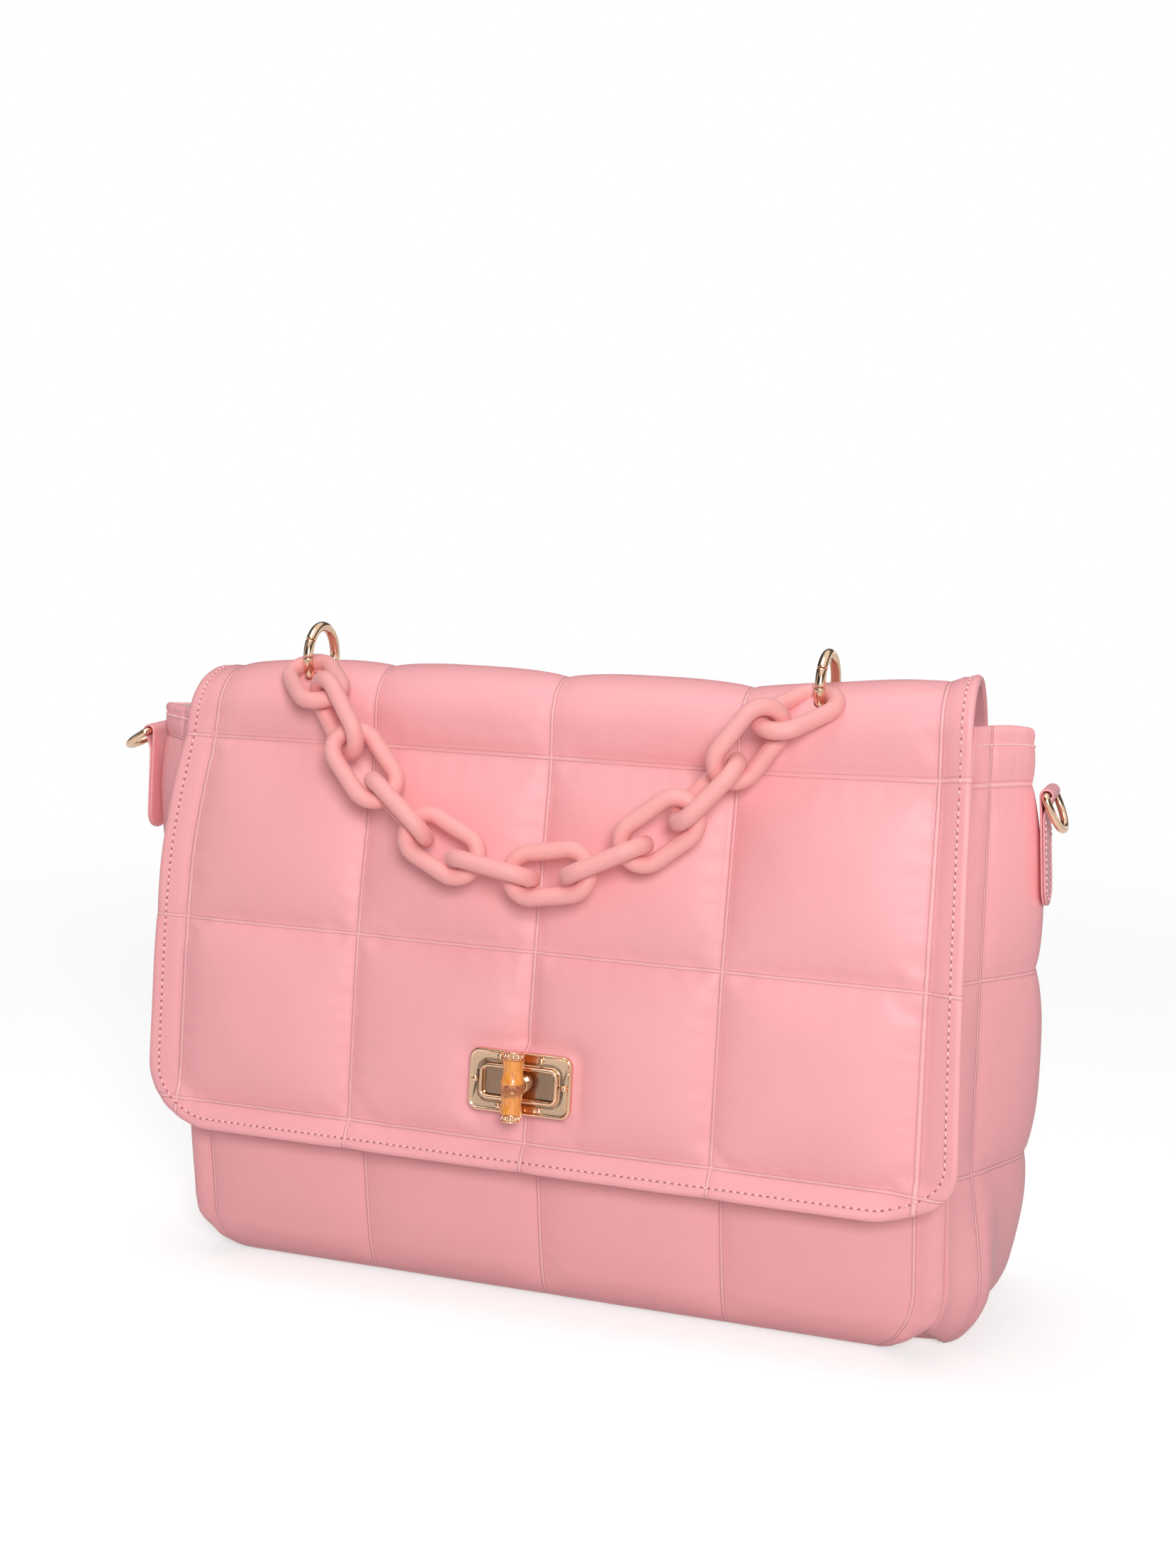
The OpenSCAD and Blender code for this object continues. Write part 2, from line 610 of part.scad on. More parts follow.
// A chain link lying in the xy plane, long way along x
module link() {
    wire_r = link_wire / 2;
    for (end = [0, 180]) rotate([0, 0, end]) {
        translate([link_leg, 0, 0]) rotate([0, 0, -90]) rotate_extrude(angle = 180)
            translate([link_bend_r, 0]) circle(wire_r);
        translate([-link_leg, link_bend_r, 0]) rotate([0, 90, 0]) cylinder(r = wire_r, h = 2 * link_leg);
    }
}
module placed_link(c, u, w) {
    n = cross(u, w);
    color(link_pink) multmatrix([[u[0], w[0], n[0], c[0]], [u[1], w[1], n[1], c[1]],
        [u[2], w[2], n[2], c[2]], [0, 0, 0, 1]]) link();
}
module hooked_link() { placed_link(hook_c, hook_u, hook_w); }
module hanging_link(i) {
    u = hang_u(hang_angle(sag, i));
    v = cross(hang_n, u);
    turn = first_turn + sum([for (j = [1 : 1 : i - 1]) quarter_turn + twist(j)]);
    placed_link(hang_point(i - 1) + u * link_pitch / 2, u, v * cos(turn) + hang_n * sin(turn));
}
module link_1() { hooked_link(); }
module link_2() { hanging_link(1); }
module link_3() { hanging_link(2); }
module link_4() { hanging_link(3); }
module link_5() { hanging_link(4); }
module link_6() { hanging_link(5); }
module link_7() { hanging_link(6); }
module link_8() { hanging_link(7); }
module link_9() { hanging_link(8); }
module link_10() { hanging_link(9); }
module link_11() { hanging_link(10); }
module link_12() { mirror([1, 0, 0]) hooked_link(); }

front_panel();
back_panel();
base_panel();
gusset_left();
gusset_right();
base_board();
lining();
tab_left();
tab_right();
lock_base();
lock_washer();
flap_outer();
flap_lining();
lock_plate();
lock_plate_back();
lock_studs();
knob_post();
bamboo_grip();
knob_caps();
top_ring_left();
top_ring_right();
gate_left();
gate_right();
side_ring_left();
side_ring_right();
link_1();
link_2();
link_3();
link_4();
link_5();
link_6();
link_7();
link_8();
link_9();
link_10();
link_11();
link_12();
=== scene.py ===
"""Quilted shoulder bag with a turn lock and a link handle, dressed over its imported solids.

Each operator makes one group of pieces. A padded piece starts as a flat pattern, in
millimetres across and along the leather, and is then laid on the bag's form.
"""

import json
from math import acos, atan2, cos, degrees, exp, hypot, pi, radians, sin, sqrt

import bmesh
import bpy
from bmesh import ops
from mathutils import Matrix, Quaternion, Vector
from mathutils.bvhtree import BVHTree

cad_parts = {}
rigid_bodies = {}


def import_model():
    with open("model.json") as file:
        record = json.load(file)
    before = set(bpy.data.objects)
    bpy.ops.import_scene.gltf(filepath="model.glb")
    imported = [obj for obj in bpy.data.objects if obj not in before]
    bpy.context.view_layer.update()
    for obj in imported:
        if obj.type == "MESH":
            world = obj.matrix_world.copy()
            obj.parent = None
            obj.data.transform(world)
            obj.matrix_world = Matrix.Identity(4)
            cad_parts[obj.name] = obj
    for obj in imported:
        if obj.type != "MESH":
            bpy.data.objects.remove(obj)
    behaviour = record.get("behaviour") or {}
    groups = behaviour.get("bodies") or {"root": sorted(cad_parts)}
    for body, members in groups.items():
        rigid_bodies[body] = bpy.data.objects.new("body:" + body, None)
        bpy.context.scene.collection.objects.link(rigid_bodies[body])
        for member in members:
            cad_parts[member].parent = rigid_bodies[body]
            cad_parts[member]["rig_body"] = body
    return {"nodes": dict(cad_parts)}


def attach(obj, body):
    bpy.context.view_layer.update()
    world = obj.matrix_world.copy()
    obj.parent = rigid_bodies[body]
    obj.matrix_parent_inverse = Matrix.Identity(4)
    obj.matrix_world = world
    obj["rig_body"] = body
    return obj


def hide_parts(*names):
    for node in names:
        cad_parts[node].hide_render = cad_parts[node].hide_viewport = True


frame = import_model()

bl_info = {
    "name": "Quilted shoulder bag",
    "version": (1, 0, 0),
    "blender": (4, 5, 0),
    "location": "View3D > Sidebar > Bag",
    "description": "Leather, metal, resin and bamboo pieces over the bag's solids",
    "category": "Object",
}

MM = 0.001

# Sizes shared with the solids, in millimetres
SEAM_X = 146
BODY_H = 208
CORNER_R = 28
FOOT_X = SEAM_X - CORNER_R
SQUEEZE_X = 100
FOOT_Y = 32
EDGE_R = 18
LOW_Y = FOOT_Y + EDGE_R
RIM_FRONT_Y = -42
RIM_BACK_Y = -6.5
FRONT_SWELL = 10
BACK_SWELL = 5
PANEL_T = 5
GUSSET_T = 3.5
FOLD = 23
FOLD_TURN = 124
FOLD_BEND = 0.62
ARCH_R = 20.5
ARCH = (RIM_BACK_Y - ARCH_R, 205.5)
CREST_Z = ARCH[1] + ARCH_R
FACE = ((-63, 135), (-71, 68), (-72, 58))
FLAP_SKIN = 2.8
FACING_T = 1.0
FLAP_CORNER = 22
LOCK_Z = 90
LEAN = degrees(atan2(8, 67))
LOCK_Y = -63 - 8 * 45 / 67
SQUARE = 68
GRID = 2


def pink(red, green, blue):
    """A screen colour of 0 to 255 as the linear colour that a shader takes."""
    linear = [c / 255 / 12.92 if c < 11 else ((c / 255 + 0.055) / 1.055) ** 2.4 for c in (red, green, blue)]
    return (*linear, 1.0)


def mix(a, b, share):
    return a + (b - a) * share


def cosd(angle):
    return cos(radians(angle))


def sind(angle):
    return sin(radians(angle))


def ease(low, high, value):
    """0 below low, 1 above high, and a smooth rise between them."""
    t = min(1.0, max(0.0, (value - low) / (high - low)))
    return t * t * (3 - 2 * t)


def settle(p):
    """Lets the mouth and the flap's crest stand higher towards the right, as on the filled bag."""
    raised = 3 * ease(-140, -60, p.x) + 6 * ease(70, 150, p.x)
    p.z += raised * ease(192, 214, p.z) * (1 - ease(-30, RIM_BACK_Y, p.y))
    return p


def gathered(p):
    """The pocket's left end is drawn in low down and its right end stands higher; the whole of it settles."""
    p.x += 4.5 * ease(-95, -140, p.x) * ease(2, 30, p.z) * (1 - ease(110, 180, p.z))
    p.z += 3.5 * ease(118, 148, p.x) * ease(180, 205, p.z)
    return settle(p)


# ---- properties


def size(name, description, default, low, high):
    return bpy.props.FloatProperty(name=name, description=description, default=default, min=low, max=high)


def colour(name, description, *screen):
    return bpy.props.FloatVectorProperty(
        name=name, description=description, subtype="COLOR", size=4, default=pink(*screen), min=0, max=1)


class BagSizes(bpy.types.PropertyGroup):
    tuft: size("Quilting depth", "How far a quilting line lies below the middle of a square, in mm", 7.0, 0.5, 9)
    curl: size("Edge curl", "How far the flap's side edges stand forward, in mm", 2.6, 0, 6)
    stitch: size("Stitch length", "Length of one stitch with its gap, in mm", 2.6, 2, 6)
    metal_edge: size("Metal edge radius", "Rounding of the metal parts' edges, in mm", 0.3, 0.05, 0.8)


class BagColours(bpy.types.PropertyGroup):
    leather: colour("Leather", "Colour of the quilted leather", 238, 166, 170)
    links: colour("Links", "Colour of the resin links", 238, 164, 162)
    metal: colour("Metal", "Colour of the rings and the lock", 238, 200, 168)
    lining: colour("Lining", "Colour of the lining cloth", 216, 190, 176)


# ---- shader nodes


def add(tree, kind, values=None, **settings):
    """A node with its settings, and its inputs set to a value or linked to a socket."""
    made = tree.nodes.new(kind)
    for key, value in settings.items():
        setattr(made, key, value)
    for key, value in (values or {}).items():
        if isinstance(value, bpy.types.NodeSocket):
            tree.links.new(value, made.inputs[key])
        else:
            made.inputs[key].default_value = value
    return made


def maths(tree, operation, *values):
    return add(tree, "ShaderNodeMath", dict(enumerate(values)), operation=operation).outputs[0]


def noise(tree, place, scale, detail=2.0, roughness=0.5):
    values = {"Vector": place, "Scale": scale, "Detail": detail, "Roughness": roughness}
    return add(tree, "ShaderNodeTexNoise", values).outputs[0]


def ranged(tree, value, low, high, start, end, **settings):
    """A value that runs from start to end while another one runs from low to high."""
    return add(tree, "ShaderNodeMapRange", {0: value, 1: low, 2: high, 3: start, 4: end}, **settings).outputs[0]


def mixed(tree, factor, colour, other, **settings):
    return add(tree, "ShaderNodeMix", {0: factor, 6: colour, 7: other}, data_type="RGBA", **settings).outputs[2]


def tint(tree, colour, factor, dark, light):
    """A colour that runs from its dark to its light shade with the factor."""
    return mixed(tree, factor, *((*(min(1.0, c * share) for c in colour[:3]), 1.0) for share in (dark, light)))


def group(name, inputs, outputs):
    """An empty node group with its sockets, or the one already made."""
    tree = bpy.data.node_groups.get(name)
    if tree:
        return tree, None, None
    tree = bpy.data.node_groups.new(name, "ShaderNodeTree")
    for label, kind, value in inputs:
        socket = tree.interface.new_socket(name=label, in_out="INPUT", socket_type=kind)
        if value is not None:
            socket.default_value = value
    for label, kind in outputs:
        tree.interface.new_socket(name=label, in_out="OUTPUT", socket_type=kind)
    return tree, tree.nodes.new("NodeGroupInput").outputs, tree.nodes.new("NodeGroupOutput").inputs


def grain_group():
    """Fine leather grain: pores, faint creases, and a slow change of tone."""
    tree, given, out = group(
        "leather_grain",
        [("Vector", "NodeSocketVector", None), ("Pore scale", "NodeSocketFloat", 1400.0)],
        [("Height", "NodeSocketFloat"), ("Tone", "NodeSocketFloat")])
    if given is None:
        return tree
    pores = add(tree, "ShaderNodeTexVoronoi", {"Vector": given["Vector"], "Scale": given["Pore scale"]})
    height = maths(tree, "MULTIPLY", pores.outputs["Distance"], 0.5)
    tree.links.new(maths(tree, "ADD", height, noise(tree, given["Vector"], 420, 4, 0.6)), out["Height"])
    tree.links.new(noise(tree, given["Vector"], 22, 3), out["Tone"])
    return tree


def quilt_group():
    """Two fine pressed lines along each quilting line and the crest between them. They are masks for the bump, for
    painted shade in the lines and for a painted highlight on the crest. The pattern's unit is one square.
    """
    tree, given, out = group(
        "quilt_lines",
        [("Vector", "NodeSocketVector", None), ("Gap", "NodeSocketFloat", 0.62), ("Line", "NodeSocketFloat", 0.34)],
        [("Pressed and shade", "NodeSocketFloat"), ("Crest and highlight", "NodeSocketFloat")])
    if given is None:
        return tree
    parts = add(tree, "ShaderNodeSeparateXYZ", {"Vector": given["Vector"]})
    lines, crests = [], []
    for axis in (0, 1):
        share = maths(tree, "FRACT", maths(tree, "ADD", parts.outputs[axis], 100.5))
        away = maths(tree, "MULTIPLY", maths(tree, "ABSOLUTE", maths(tree, "SUBTRACT", share, 0.5)), float(SQUARE))
        beside = maths(tree, "ABSOLUTE", maths(tree, "SUBTRACT", away, given["Gap"]))
        for kept, distance, reach in ((lines, beside, "Line"), (crests, away, "Gap")):
            share = maths(tree, "MINIMUM", maths(tree, "DIVIDE", distance, given[reach]), 1.0)
            kept.append(maths(tree, "SUBTRACT", 1.0, share))
    tree.links.new(maths(tree, "MAXIMUM", *lines), out["Pressed and shade"])
    tree.links.new(maths(tree, "MAXIMUM", *crests), out["Crest and highlight"])
    return tree


def material(name, pattern, **values):
    """A material, made at its first use. Its pattern gives the colour, then the bump's height with its
    strength and depth, then what the roughness follows with its ends."""
    if name in bpy.data.materials:
        return bpy.data.materials[name]
    made = bpy.data.materials.new(name)
    made.use_nodes = True
    tree = made.node_tree
    inputs = tree.nodes["Principled BSDF"].inputs
    for key, value in values.items():
        inputs[key.replace("_", " ")].default_value = value
    shade, bump, rough = pattern(tree, tree.nodes.new("ShaderNodeTexCoord").outputs["Object"])
    tree.links.new(shade, inputs["Base Color"])
    if bump:
        raised = add(tree, "ShaderNodeBump", dict(zip(("Height", "Strength", "Distance"), bump)))
        tree.links.new(raised.outputs[0], inputs["Normal"])
    if rough:
        tree.links.new(ranged(tree, rough[0], 0.3, 0.7, *rough[1:]), inputs["Roughness"])
    return made


def noisy(colour, shades, tones, grain=None, bump=None, rough=None):
    """A pattern whose colour follows one noise, and whose bump follows a finer one or the same."""
    def pattern(tree, place):
        tone = noise(tree, place, *tones)
        fine = noise(tree, place, *grain) if grain else tone
        return (tint(tree, colour, tone, *shades), bump and (fine, *bump),
                rough and (fine if rough[0] == "grain" else tone, *rough[1:]))
    return pattern


def leather(quilted=True):
    """Grained leather. The quilted kind has its pressed lines from the flat pattern, darkened as painted shade, with a
    painted highlight on the crest between them.
    """
    def pattern(tree, place):
        grain = add(tree, "ShaderNodeGroup", {"Vector": place}, node_tree=grain_group()).outputs
        shade = tint(tree, bpy.context.scene.bag_colours.leather, grain["Tone"], 0.95, 1.05)
        height = maths(tree, "MULTIPLY", grain["Height"], 0.1)
        if quilted:
            flat = add(tree, "ShaderNodeUVMap", uv_map="pattern").outputs[0]
            quilt = add(tree, "ShaderNodeGroup", {"Vector": flat}, node_tree=quilt_group()).outputs
            pressed, crest = quilt["Pressed and shade"], quilt["Crest and highlight"]
            # Painted shade: the colour is darkened in the pressed lines
            shade = mixed(tree, maths(tree, "MULTIPLY", pressed, 0.22), shade, (0.80, 0.42, 0.45, 1.0),
                          blend_type="MULTIPLY")
            # Painted highlight: the colour is lightened on the crest between the pressed lines
            shade = mixed(tree, maths(tree, "MULTIPLY", crest, 0.5), shade, pink(255, 200, 200))
            ridge = maths(tree, "MULTIPLY", maths(tree, "SUBTRACT", crest, pressed), 0.2)
            height = maths(tree, "ADD", height, ridge)
        return shade, (height, 0.8, 0.001), (grain["Tone"], 0.40, 0.50)
    return material("quilted_leather" if quilted else "plain_leather", pattern, Specular_IOR_Level=0.34)


def thread():
    return material("stitch_thread", noisy(pink(246, 196, 196), (0.85, 1.08), (2600,), bump=(0.5, 0.0002)),
                    Roughness=0.6, Sheen_Weight=0.2)


# Painted shade: a dark colour for the flat balls set in the needle holes between stitches
def needle_hole_shade():
    return material("needle_hole_shade", noisy(pink(184, 106, 112), (0.7, 1.3), (3000,)), Roughness=0.8)


def metal():
    return material("pale_gold", noisy(bpy.context.scene.bag_colours.metal, (0.94, 1.04), (90, 4), (1800,),
                                       (0.12, 0.0001), ("tone", 0.10, 0.17)), Metallic=1.0)


def resin():
    return material("matte_resin", noisy(bpy.context.scene.bag_colours.links, (0.94, 1.06), (45,), (700, 3, 0.6),
                                         (0.25, 0.0003), ("grain", 0.50, 0.62)),
                    Specular_IOR_Level=0.4, Sheen_Weight=0.12, Sheen_Roughness=0.5)


def bud():
    """Dark, knotty eyes of the cane's node."""
    return material("bamboo_bud", noisy(pink(158, 84, 46), (0.45, 1.5), (900, 3), bump=(0.5, 0.0003)),
                    Coat_Weight=0.6, Coat_Roughness=0.15, Roughness=0.4)


def fibreboard():
    return material("fibreboard", noisy(pink(168, 140, 112), (0.7, 1.2), (500, 5, 0.7), bump=(0.5, 0.0003)), Roughness=0.9)


def cane():
    """Amber bamboo: long fibres, dark flecks, and a scorched band at the node."""
    def pattern(tree, place):
        along = add(tree, "ShaderNodeMapping", {"Vector": place, "Location": (0.0, 0.0, -LOCK_Z * MM)}).outputs[0]
        long_way = add(tree, "ShaderNodeMapping", {"Vector": along, "Scale": (1.0, 1.0, 0.06)}).outputs[0]
        fibre = noise(tree, long_way, 2200, 4, 0.6)
        blotch = noise(tree, along, 330, 3)
        amber = mixed(tree, ranged(tree, fibre, 0.3, 0.7, 0.0, 1.0), pink(208, 108, 30), pink(250, 172, 70))
        off = maths(tree, "ABSOLUTE", add(tree, "ShaderNodeSeparateXYZ", {"Vector": along}).outputs[2])
        ragged = maths(tree, "ADD", off, maths(tree, "MULTIPLY", maths(tree, "SUBTRACT", blotch, 0.5), 0.0042))
        scorch, flecks = ranged(tree, ragged, 0.0014, 0.0026, 0.62, 0.0), ranged(tree, blotch, 0.64, 0.76, 0.0, 0.4)
        return mixed(tree, maths(tree, "MAXIMUM", scorch, flecks), amber, pink(132, 62, 30)), (fibre, 0.35, 0.0003), None
    return material("amber_bamboo", pattern, Coat_Weight=1.0, Coat_Roughness=0.05, Roughness=0.3)


def cloth():
    """Twill lining, woven at 0.6 mm."""
    def pattern(tree, place):
        askew = add(tree, "ShaderNodeMapping", {"Vector": place, "Rotation": (0.5, 0.4, 0.8)}).outputs[0]
        wave = {"Vector": askew, "Scale": 260.0, "Distortion": 0.6}
        threads = [add(tree, "ShaderNodeTexWave", wave, bands_direction=way).outputs["Fac"] for way in "XZ"]
        weave = maths(tree, "MULTIPLY", *threads)
        return tint(tree, bpy.context.scene.bag_colours.lining, weave, 0.86, 1.06), (weave, 0.4, 0.0003), None
    return material("lining_twill", pattern, Roughness=0.85, Sheen_Weight=0.25)


# ---- making pieces


def round_pairs(items):
    """Each item with the next one, and the last with the first."""
    return zip(items, items[1:] + items[:1])


def move(x, y, z):
    return Matrix.Translation((x, y, z))


def spin(angle, axis):
    """A turn in degrees about an axis."""
    return Matrix.Rotation(radians(angle), 4, axis)


def scaled(x, y, z):
    return Matrix.Diagonal((x, y, z, 1))


def framed(x_axis, y_axis, z_axis, centre):
    return Matrix.Translation(centre) @ Matrix((x_axis, y_axis, z_axis)).transposed().to_4x4()


def bare(name, bm):
    """A new object in the scene from a bmesh in millimetres."""
    ops.scale(bm, vec=(MM, MM, MM), verts=bm.verts)
    mesh = bpy.data.meshes.new(name)
    bm.to_mesh(mesh)
    bm.free()
    made = bpy.data.objects.new(name, mesh)
    bpy.context.scene.collection.objects.link(made)
    return made


def piece(name, bm, material, body, nodes=(), sharp=None):
    """A finished piece from a bmesh. It rides on a body and stands for its nodes."""
    made = bare(name, bm)
    mesh = made.data
    mesh.materials.append(material)
    mesh.polygons.foreach_set("use_smooth", [True] * len(mesh.polygons))
    if sharp:
        mesh.set_sharp_from_angle(angle=radians(sharp))
    if nodes:
        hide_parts(*nodes)
    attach(made, body)
    return made


def grown(bm, edges):
    """Extrudes edges, and gives the new edges and their vertices."""
    made = ops.extrude_edge_only(bm, edges=edges)["geom"]
    return [[g for g in made if isinstance(g, kind)] for kind in (bmesh.types.BMEdge, bmesh.types.BMVert)]


def bevelled(bm, edges, width, segments=3, clamp=False):
    ops.bevel(bm, geom=edges, offset=width, offset_type="OFFSET", segments=segments, profile=0.5,
              affect="EDGES", material=-1, clamp_overlap=clamp)


def swept(stops, radius, sides=20, closed=False):
    """A round bar run through a list of frames, bridged to its start or capped at both ends."""
    bm = bmesh.new()
    ops.create_circle(bm, segments=sides, radius=radius, matrix=stops[0])
    first = edges = list(bm.edges)
    for last, stop in zip(stops, stops[1:]):
        edges, ring = grown(bm, edges)
        ops.transform(bm, matrix=stop @ last.inverted(), verts=ring)
    if closed:
        ops.bridge_loops(bm, edges=first + edges)
    else:
        ops.holes_fill(bm, edges=[e for e in bm.edges if e.is_boundary], sides=0)
    ops.recalc_face_normals(bm, faces=bm.faces)
    return bm


def slab(half, length, thick, columns, rows, corner=0, edge=0.45):
    """A flat pattern piece with rounded edges: x across, y along, and z from 0 down to its thickness."""
    bm = bmesh.new()
    place = move(0, length / 2, 0) @ scaled(half, length / 2, 1)
    top = ops.create_grid(bm, x_segments=columns, y_segments=rows, size=1, matrix=place)["verts"]
    bottom = ops.create_grid(bm, x_segments=columns, y_segments=rows, size=1, matrix=move(0, 0, -thick) @ place)["verts"]
    below = set(bottom)
    ops.reverse_faces(bm, faces=[f for f in bm.faces if f.verts[0] in below])
    if corner:
        for v in top + bottom:
            across, along = abs(v.co.x) - (half - corner), v.co.y - (length - corner)
            if across > 0 and along > 0:
                pull = max(across, along) / hypot(across, along)
                v.co.x = (half - corner + across * pull) * (1 if v.co.x > 0 else -1)
                v.co.y = length - corner + along * pull
    rims = [e for e in bm.edges if e.is_boundary]
    ops.bridge_loops(bm, edges=rims)
    bevelled(bm, rims, thick * edge, clamp=True)
    return bm


def patterned(bm, across, along):
    """Keeps the flat pattern as a UV map whose unit is one square."""
    layer = bm.loops.layers.uv.new("pattern")
    for face in bm.faces:
        for loop in face.loops:
            loop[layer].uv = (across(loop.vert.co.x), along(loop.vert.co.y))


def laid(bm, thick, at, outer, inner):
    """Lays a flat pattern on its form: heights run from the inner to the outer face."""
    for v in bm.verts:
        x, s, h = v.co
        share = 1 + h / thick
        v.co = at(x, s, mix(inner(x, s), outer(x, s), share))


RELIEFS = {}
FILL_CELL = 3.0
FILL_FRAMES = 20
PINNED = 0.55 * FILL_CELL
RELIEF_MOST = 1.04
RELIEF_BEND = 0.6
PLAIN_SHARE = 0.35


def filled(name, wide, long, line_away):
    """Fills a flat sheet from behind by a cloth run, held on its stitched lines, and keeps its relief.

    The relief is 0 on the lines and about 1 at the middle of a square. line_away gives a
    point's distance to the nearest held line, in millimetres.
    """
    columns, rows = round(wide / FILL_CELL), round(long / FILL_CELL)
    bm = bmesh.new()
    place = move(0, long / 2, 0) @ scaled(wide / 2, long / 2, 1)
    ops.create_grid(bm, x_segments=columns, y_segments=rows, size=1, matrix=place)
    held = []
    for v in bm.verts:
        away = line_away(v.co.x, v.co.y)
        if away < PINNED:
            held.append(v.index)
        else:
            uneven = 1 + 0.3 * sin(v.co.x * 0.21 + v.co.y * 0.13) * cos(v.co.y * 0.17 - v.co.x * 0.07)
            v.co.z = 0.8 * min(1, away / 10) * uneven
    flat = bare("filled sheet", bm)
    flat.vertex_groups.new(name="lines").add(held, 1.0, "REPLACE")
    run = flat.modifiers.new("filling", "CLOTH")
    for key, value in (("vertex_group_mass", "lines"), ("use_pressure", True), ("uniform_pressure_force", 400),
                       ("mass", 0.05), ("shrink_min", -0.02), ("quality", 6)):
        setattr(run.settings, key, value)
    run.settings.effector_weights.gravity = 0
    run.collision_settings.use_collision = False
    run.point_cache.frame_end = FILL_FRAMES
    for count in range(1, FILL_FRAMES + 1):
        bpy.context.scene.frame_set(count)
    shaped = flat.evaluated_get(bpy.context.evaluated_depsgraph_get()).to_mesh()
    heights = {}
    for v, moved in zip(flat.data.vertices, shaped.vertices):
        column = round((v.co.x / MM / wide + 0.5) * columns)
        heights[column, round(v.co.y / MM / long * rows)] = moved.co.z / MM
    full = sorted(heights.values())[int(len(heights) * 0.9)]
    RELIEFS[name] = (wide, long, columns, rows, {key: h / full for key, h in heights.items()})
    bpy.data.objects.remove(flat)
    bpy.context.scene.frame_set(1)


def relief(name, x, s, rest):
    """The share of full padding at a point, from the cloth run and the plain crown, or only the crown."""
    if name not in RELIEFS:
        return rest
    wide, long, columns, rows, heights = RELIEFS[name]
    across = min(columns - 0.001, max(0, (x / wide + 0.5) * columns))
    along = min(rows - 0.001, max(0, s / long * rows))
    i, j = int(across), int(along)
    near = mix(heights[i, j], heights[i + 1, j], across - i)
    far = mix(heights[i, j + 1], heights[i + 1, j + 1], across - i)
    return mix(min(RELIEF_MOST, max(0, mix(near, far, along - j))) ** RELIEF_BEND, rest, PLAIN_SHARE)


def crown(distance, half, round_=0.72):
    """Rise of a padded square from its quilting line, 0 to 1."""
    return sin(pi / 2 * min(1.0, distance / half)) ** round_


def line_distance(value, start, pitch):
    return abs((value - start + pitch / 2) % pitch - pitch / 2)


def padding(name, x, s, rows_from, round_=0.72):
    """1 at the middle of a square and 0 on its quilting lines."""
    across = crown(line_distance(x, 0, SQUARE), SQUARE / 2, round_)
    return relief(name, x, s, across * crown(line_distance(s, rows_from, ROW_PITCH), ROW_PITCH / 2, round_))


def square_lines(x, s, rows_from):
    return min(line_distance(x, 0, SQUARE), line_distance(s, rows_from, ROW_PITCH))


def trail(points, step=0.5, window=6):
    """A side profile of (y, z) points as evenly spaced stops of (y, z, normal y, normal z)."""
    lengths = [0.0]
    for a, b in zip(points, points[1:]):
        lengths.append(lengths[-1] + hypot(b[0] - a[0], b[1] - a[1]))
    count = round(lengths[-1] / step)
    at, k = [], 0
    for i in range(count + 1):
        s = lengths[-1] * i / count
        while k < len(lengths) - 2 and lengths[k + 1] < s:
            k += 1
        share = (s - lengths[k]) / (lengths[k + 1] - lengths[k])
        at.append((mix(points[k][0], points[k + 1][0], share), mix(points[k][1], points[k + 1][1], share)))
    stops = []
    for i, (y, z) in enumerate(at):
        a, b = at[max(0, i - window)], at[min(count, i + window)]
        run = hypot(b[0] - a[0], b[1] - a[1])
        stops.append((y, z, -(b[1] - a[1]) / run, (b[0] - a[0]) / run))
    return stops, lengths[-1]


def on_trail(stops, length, s):
    """The profile's (y, z, normal y, normal z) at a length along it, run straight on past its ends."""
    count = len(stops) - 1
    place = s / length * count
    i = min(count - 1, max(0, int(place)))
    return [mix(a, b, place - i) for a, b in zip(stops[i], stops[i + 1])]


# ---- side profiles of the walls and the flap


def front_rise(z):
    share = (z - EDGE_R) / (BODY_H - EDGE_R)
    return mix(-LOW_Y, RIM_FRONT_Y, share) - FRONT_SWELL * sin(pi * share)


def back_rise(z):
    share = (z - EDGE_R) / (ARCH[1] - EDGE_R)
    return mix(LOW_Y, RIM_BACK_Y, share) + BACK_SWELL * sin(pi * min(1, share))


def rolled(rise, side, top):
    """A wall's outer profile from the base's seam, round its rolled edge and up."""
    roll = [(side * (FOOT_Y + EDGE_R * sind(a)), EDGE_R * (1 - cosd(a))) for a in range(0, 90, 6)]
    return roll + [(rise(z), z) for z in [mix(EDGE_R, top, i / 60) for i in range(61)]]


FRONT_LINE, FRONT_LENGTH = trail(rolled(front_rise, -1, BODY_H))
BACK_LINE, BACK_LENGTH = trail(rolled(back_rise, 1, ARCH[1] - 0.3))
mid_y, mid_z = FACE[0][0] - ARCH[0], FACE[0][1] - ARCH[1]
ARCH_END = 2 * pi + atan2(mid_z, mid_y) - acos(ARCH_R / hypot(mid_y, mid_z))
FLAP_LINE, FLAP_LENGTH = trail(
    [(ARCH[0] + ARCH_R * cos(ARCH_END * i / 60), ARCH[1] + ARCH_R * sin(ARCH_END * i / 60)) for i in range(61)]
    + list(FACE))
FLAP_ROWS = 108
FLAP_STEP = FLAP_LENGTH / FLAP_ROWS
ROW_PITCH = 34 * FLAP_STEP


def half_width(z):
    """Half the front outline's width, with its rounded lower corners."""
    return SEAM_X if z >= CORNER_R else FOOT_X + sqrt(max(0, CORNER_R**2 - (CORNER_R - z) ** 2))


def squeezed(x, z):
    """Draws a wall's outer part in to the rounded lower corner."""
    if abs(x) <= SQUEEZE_X or z >= CORNER_R:
        return x
    way = 1 if x > 0 else -1
    return way * mix(SQUEEZE_X, half_width(max(0, z)), (abs(x) - SQUEEZE_X) / (SEAM_X - SQUEEZE_X))


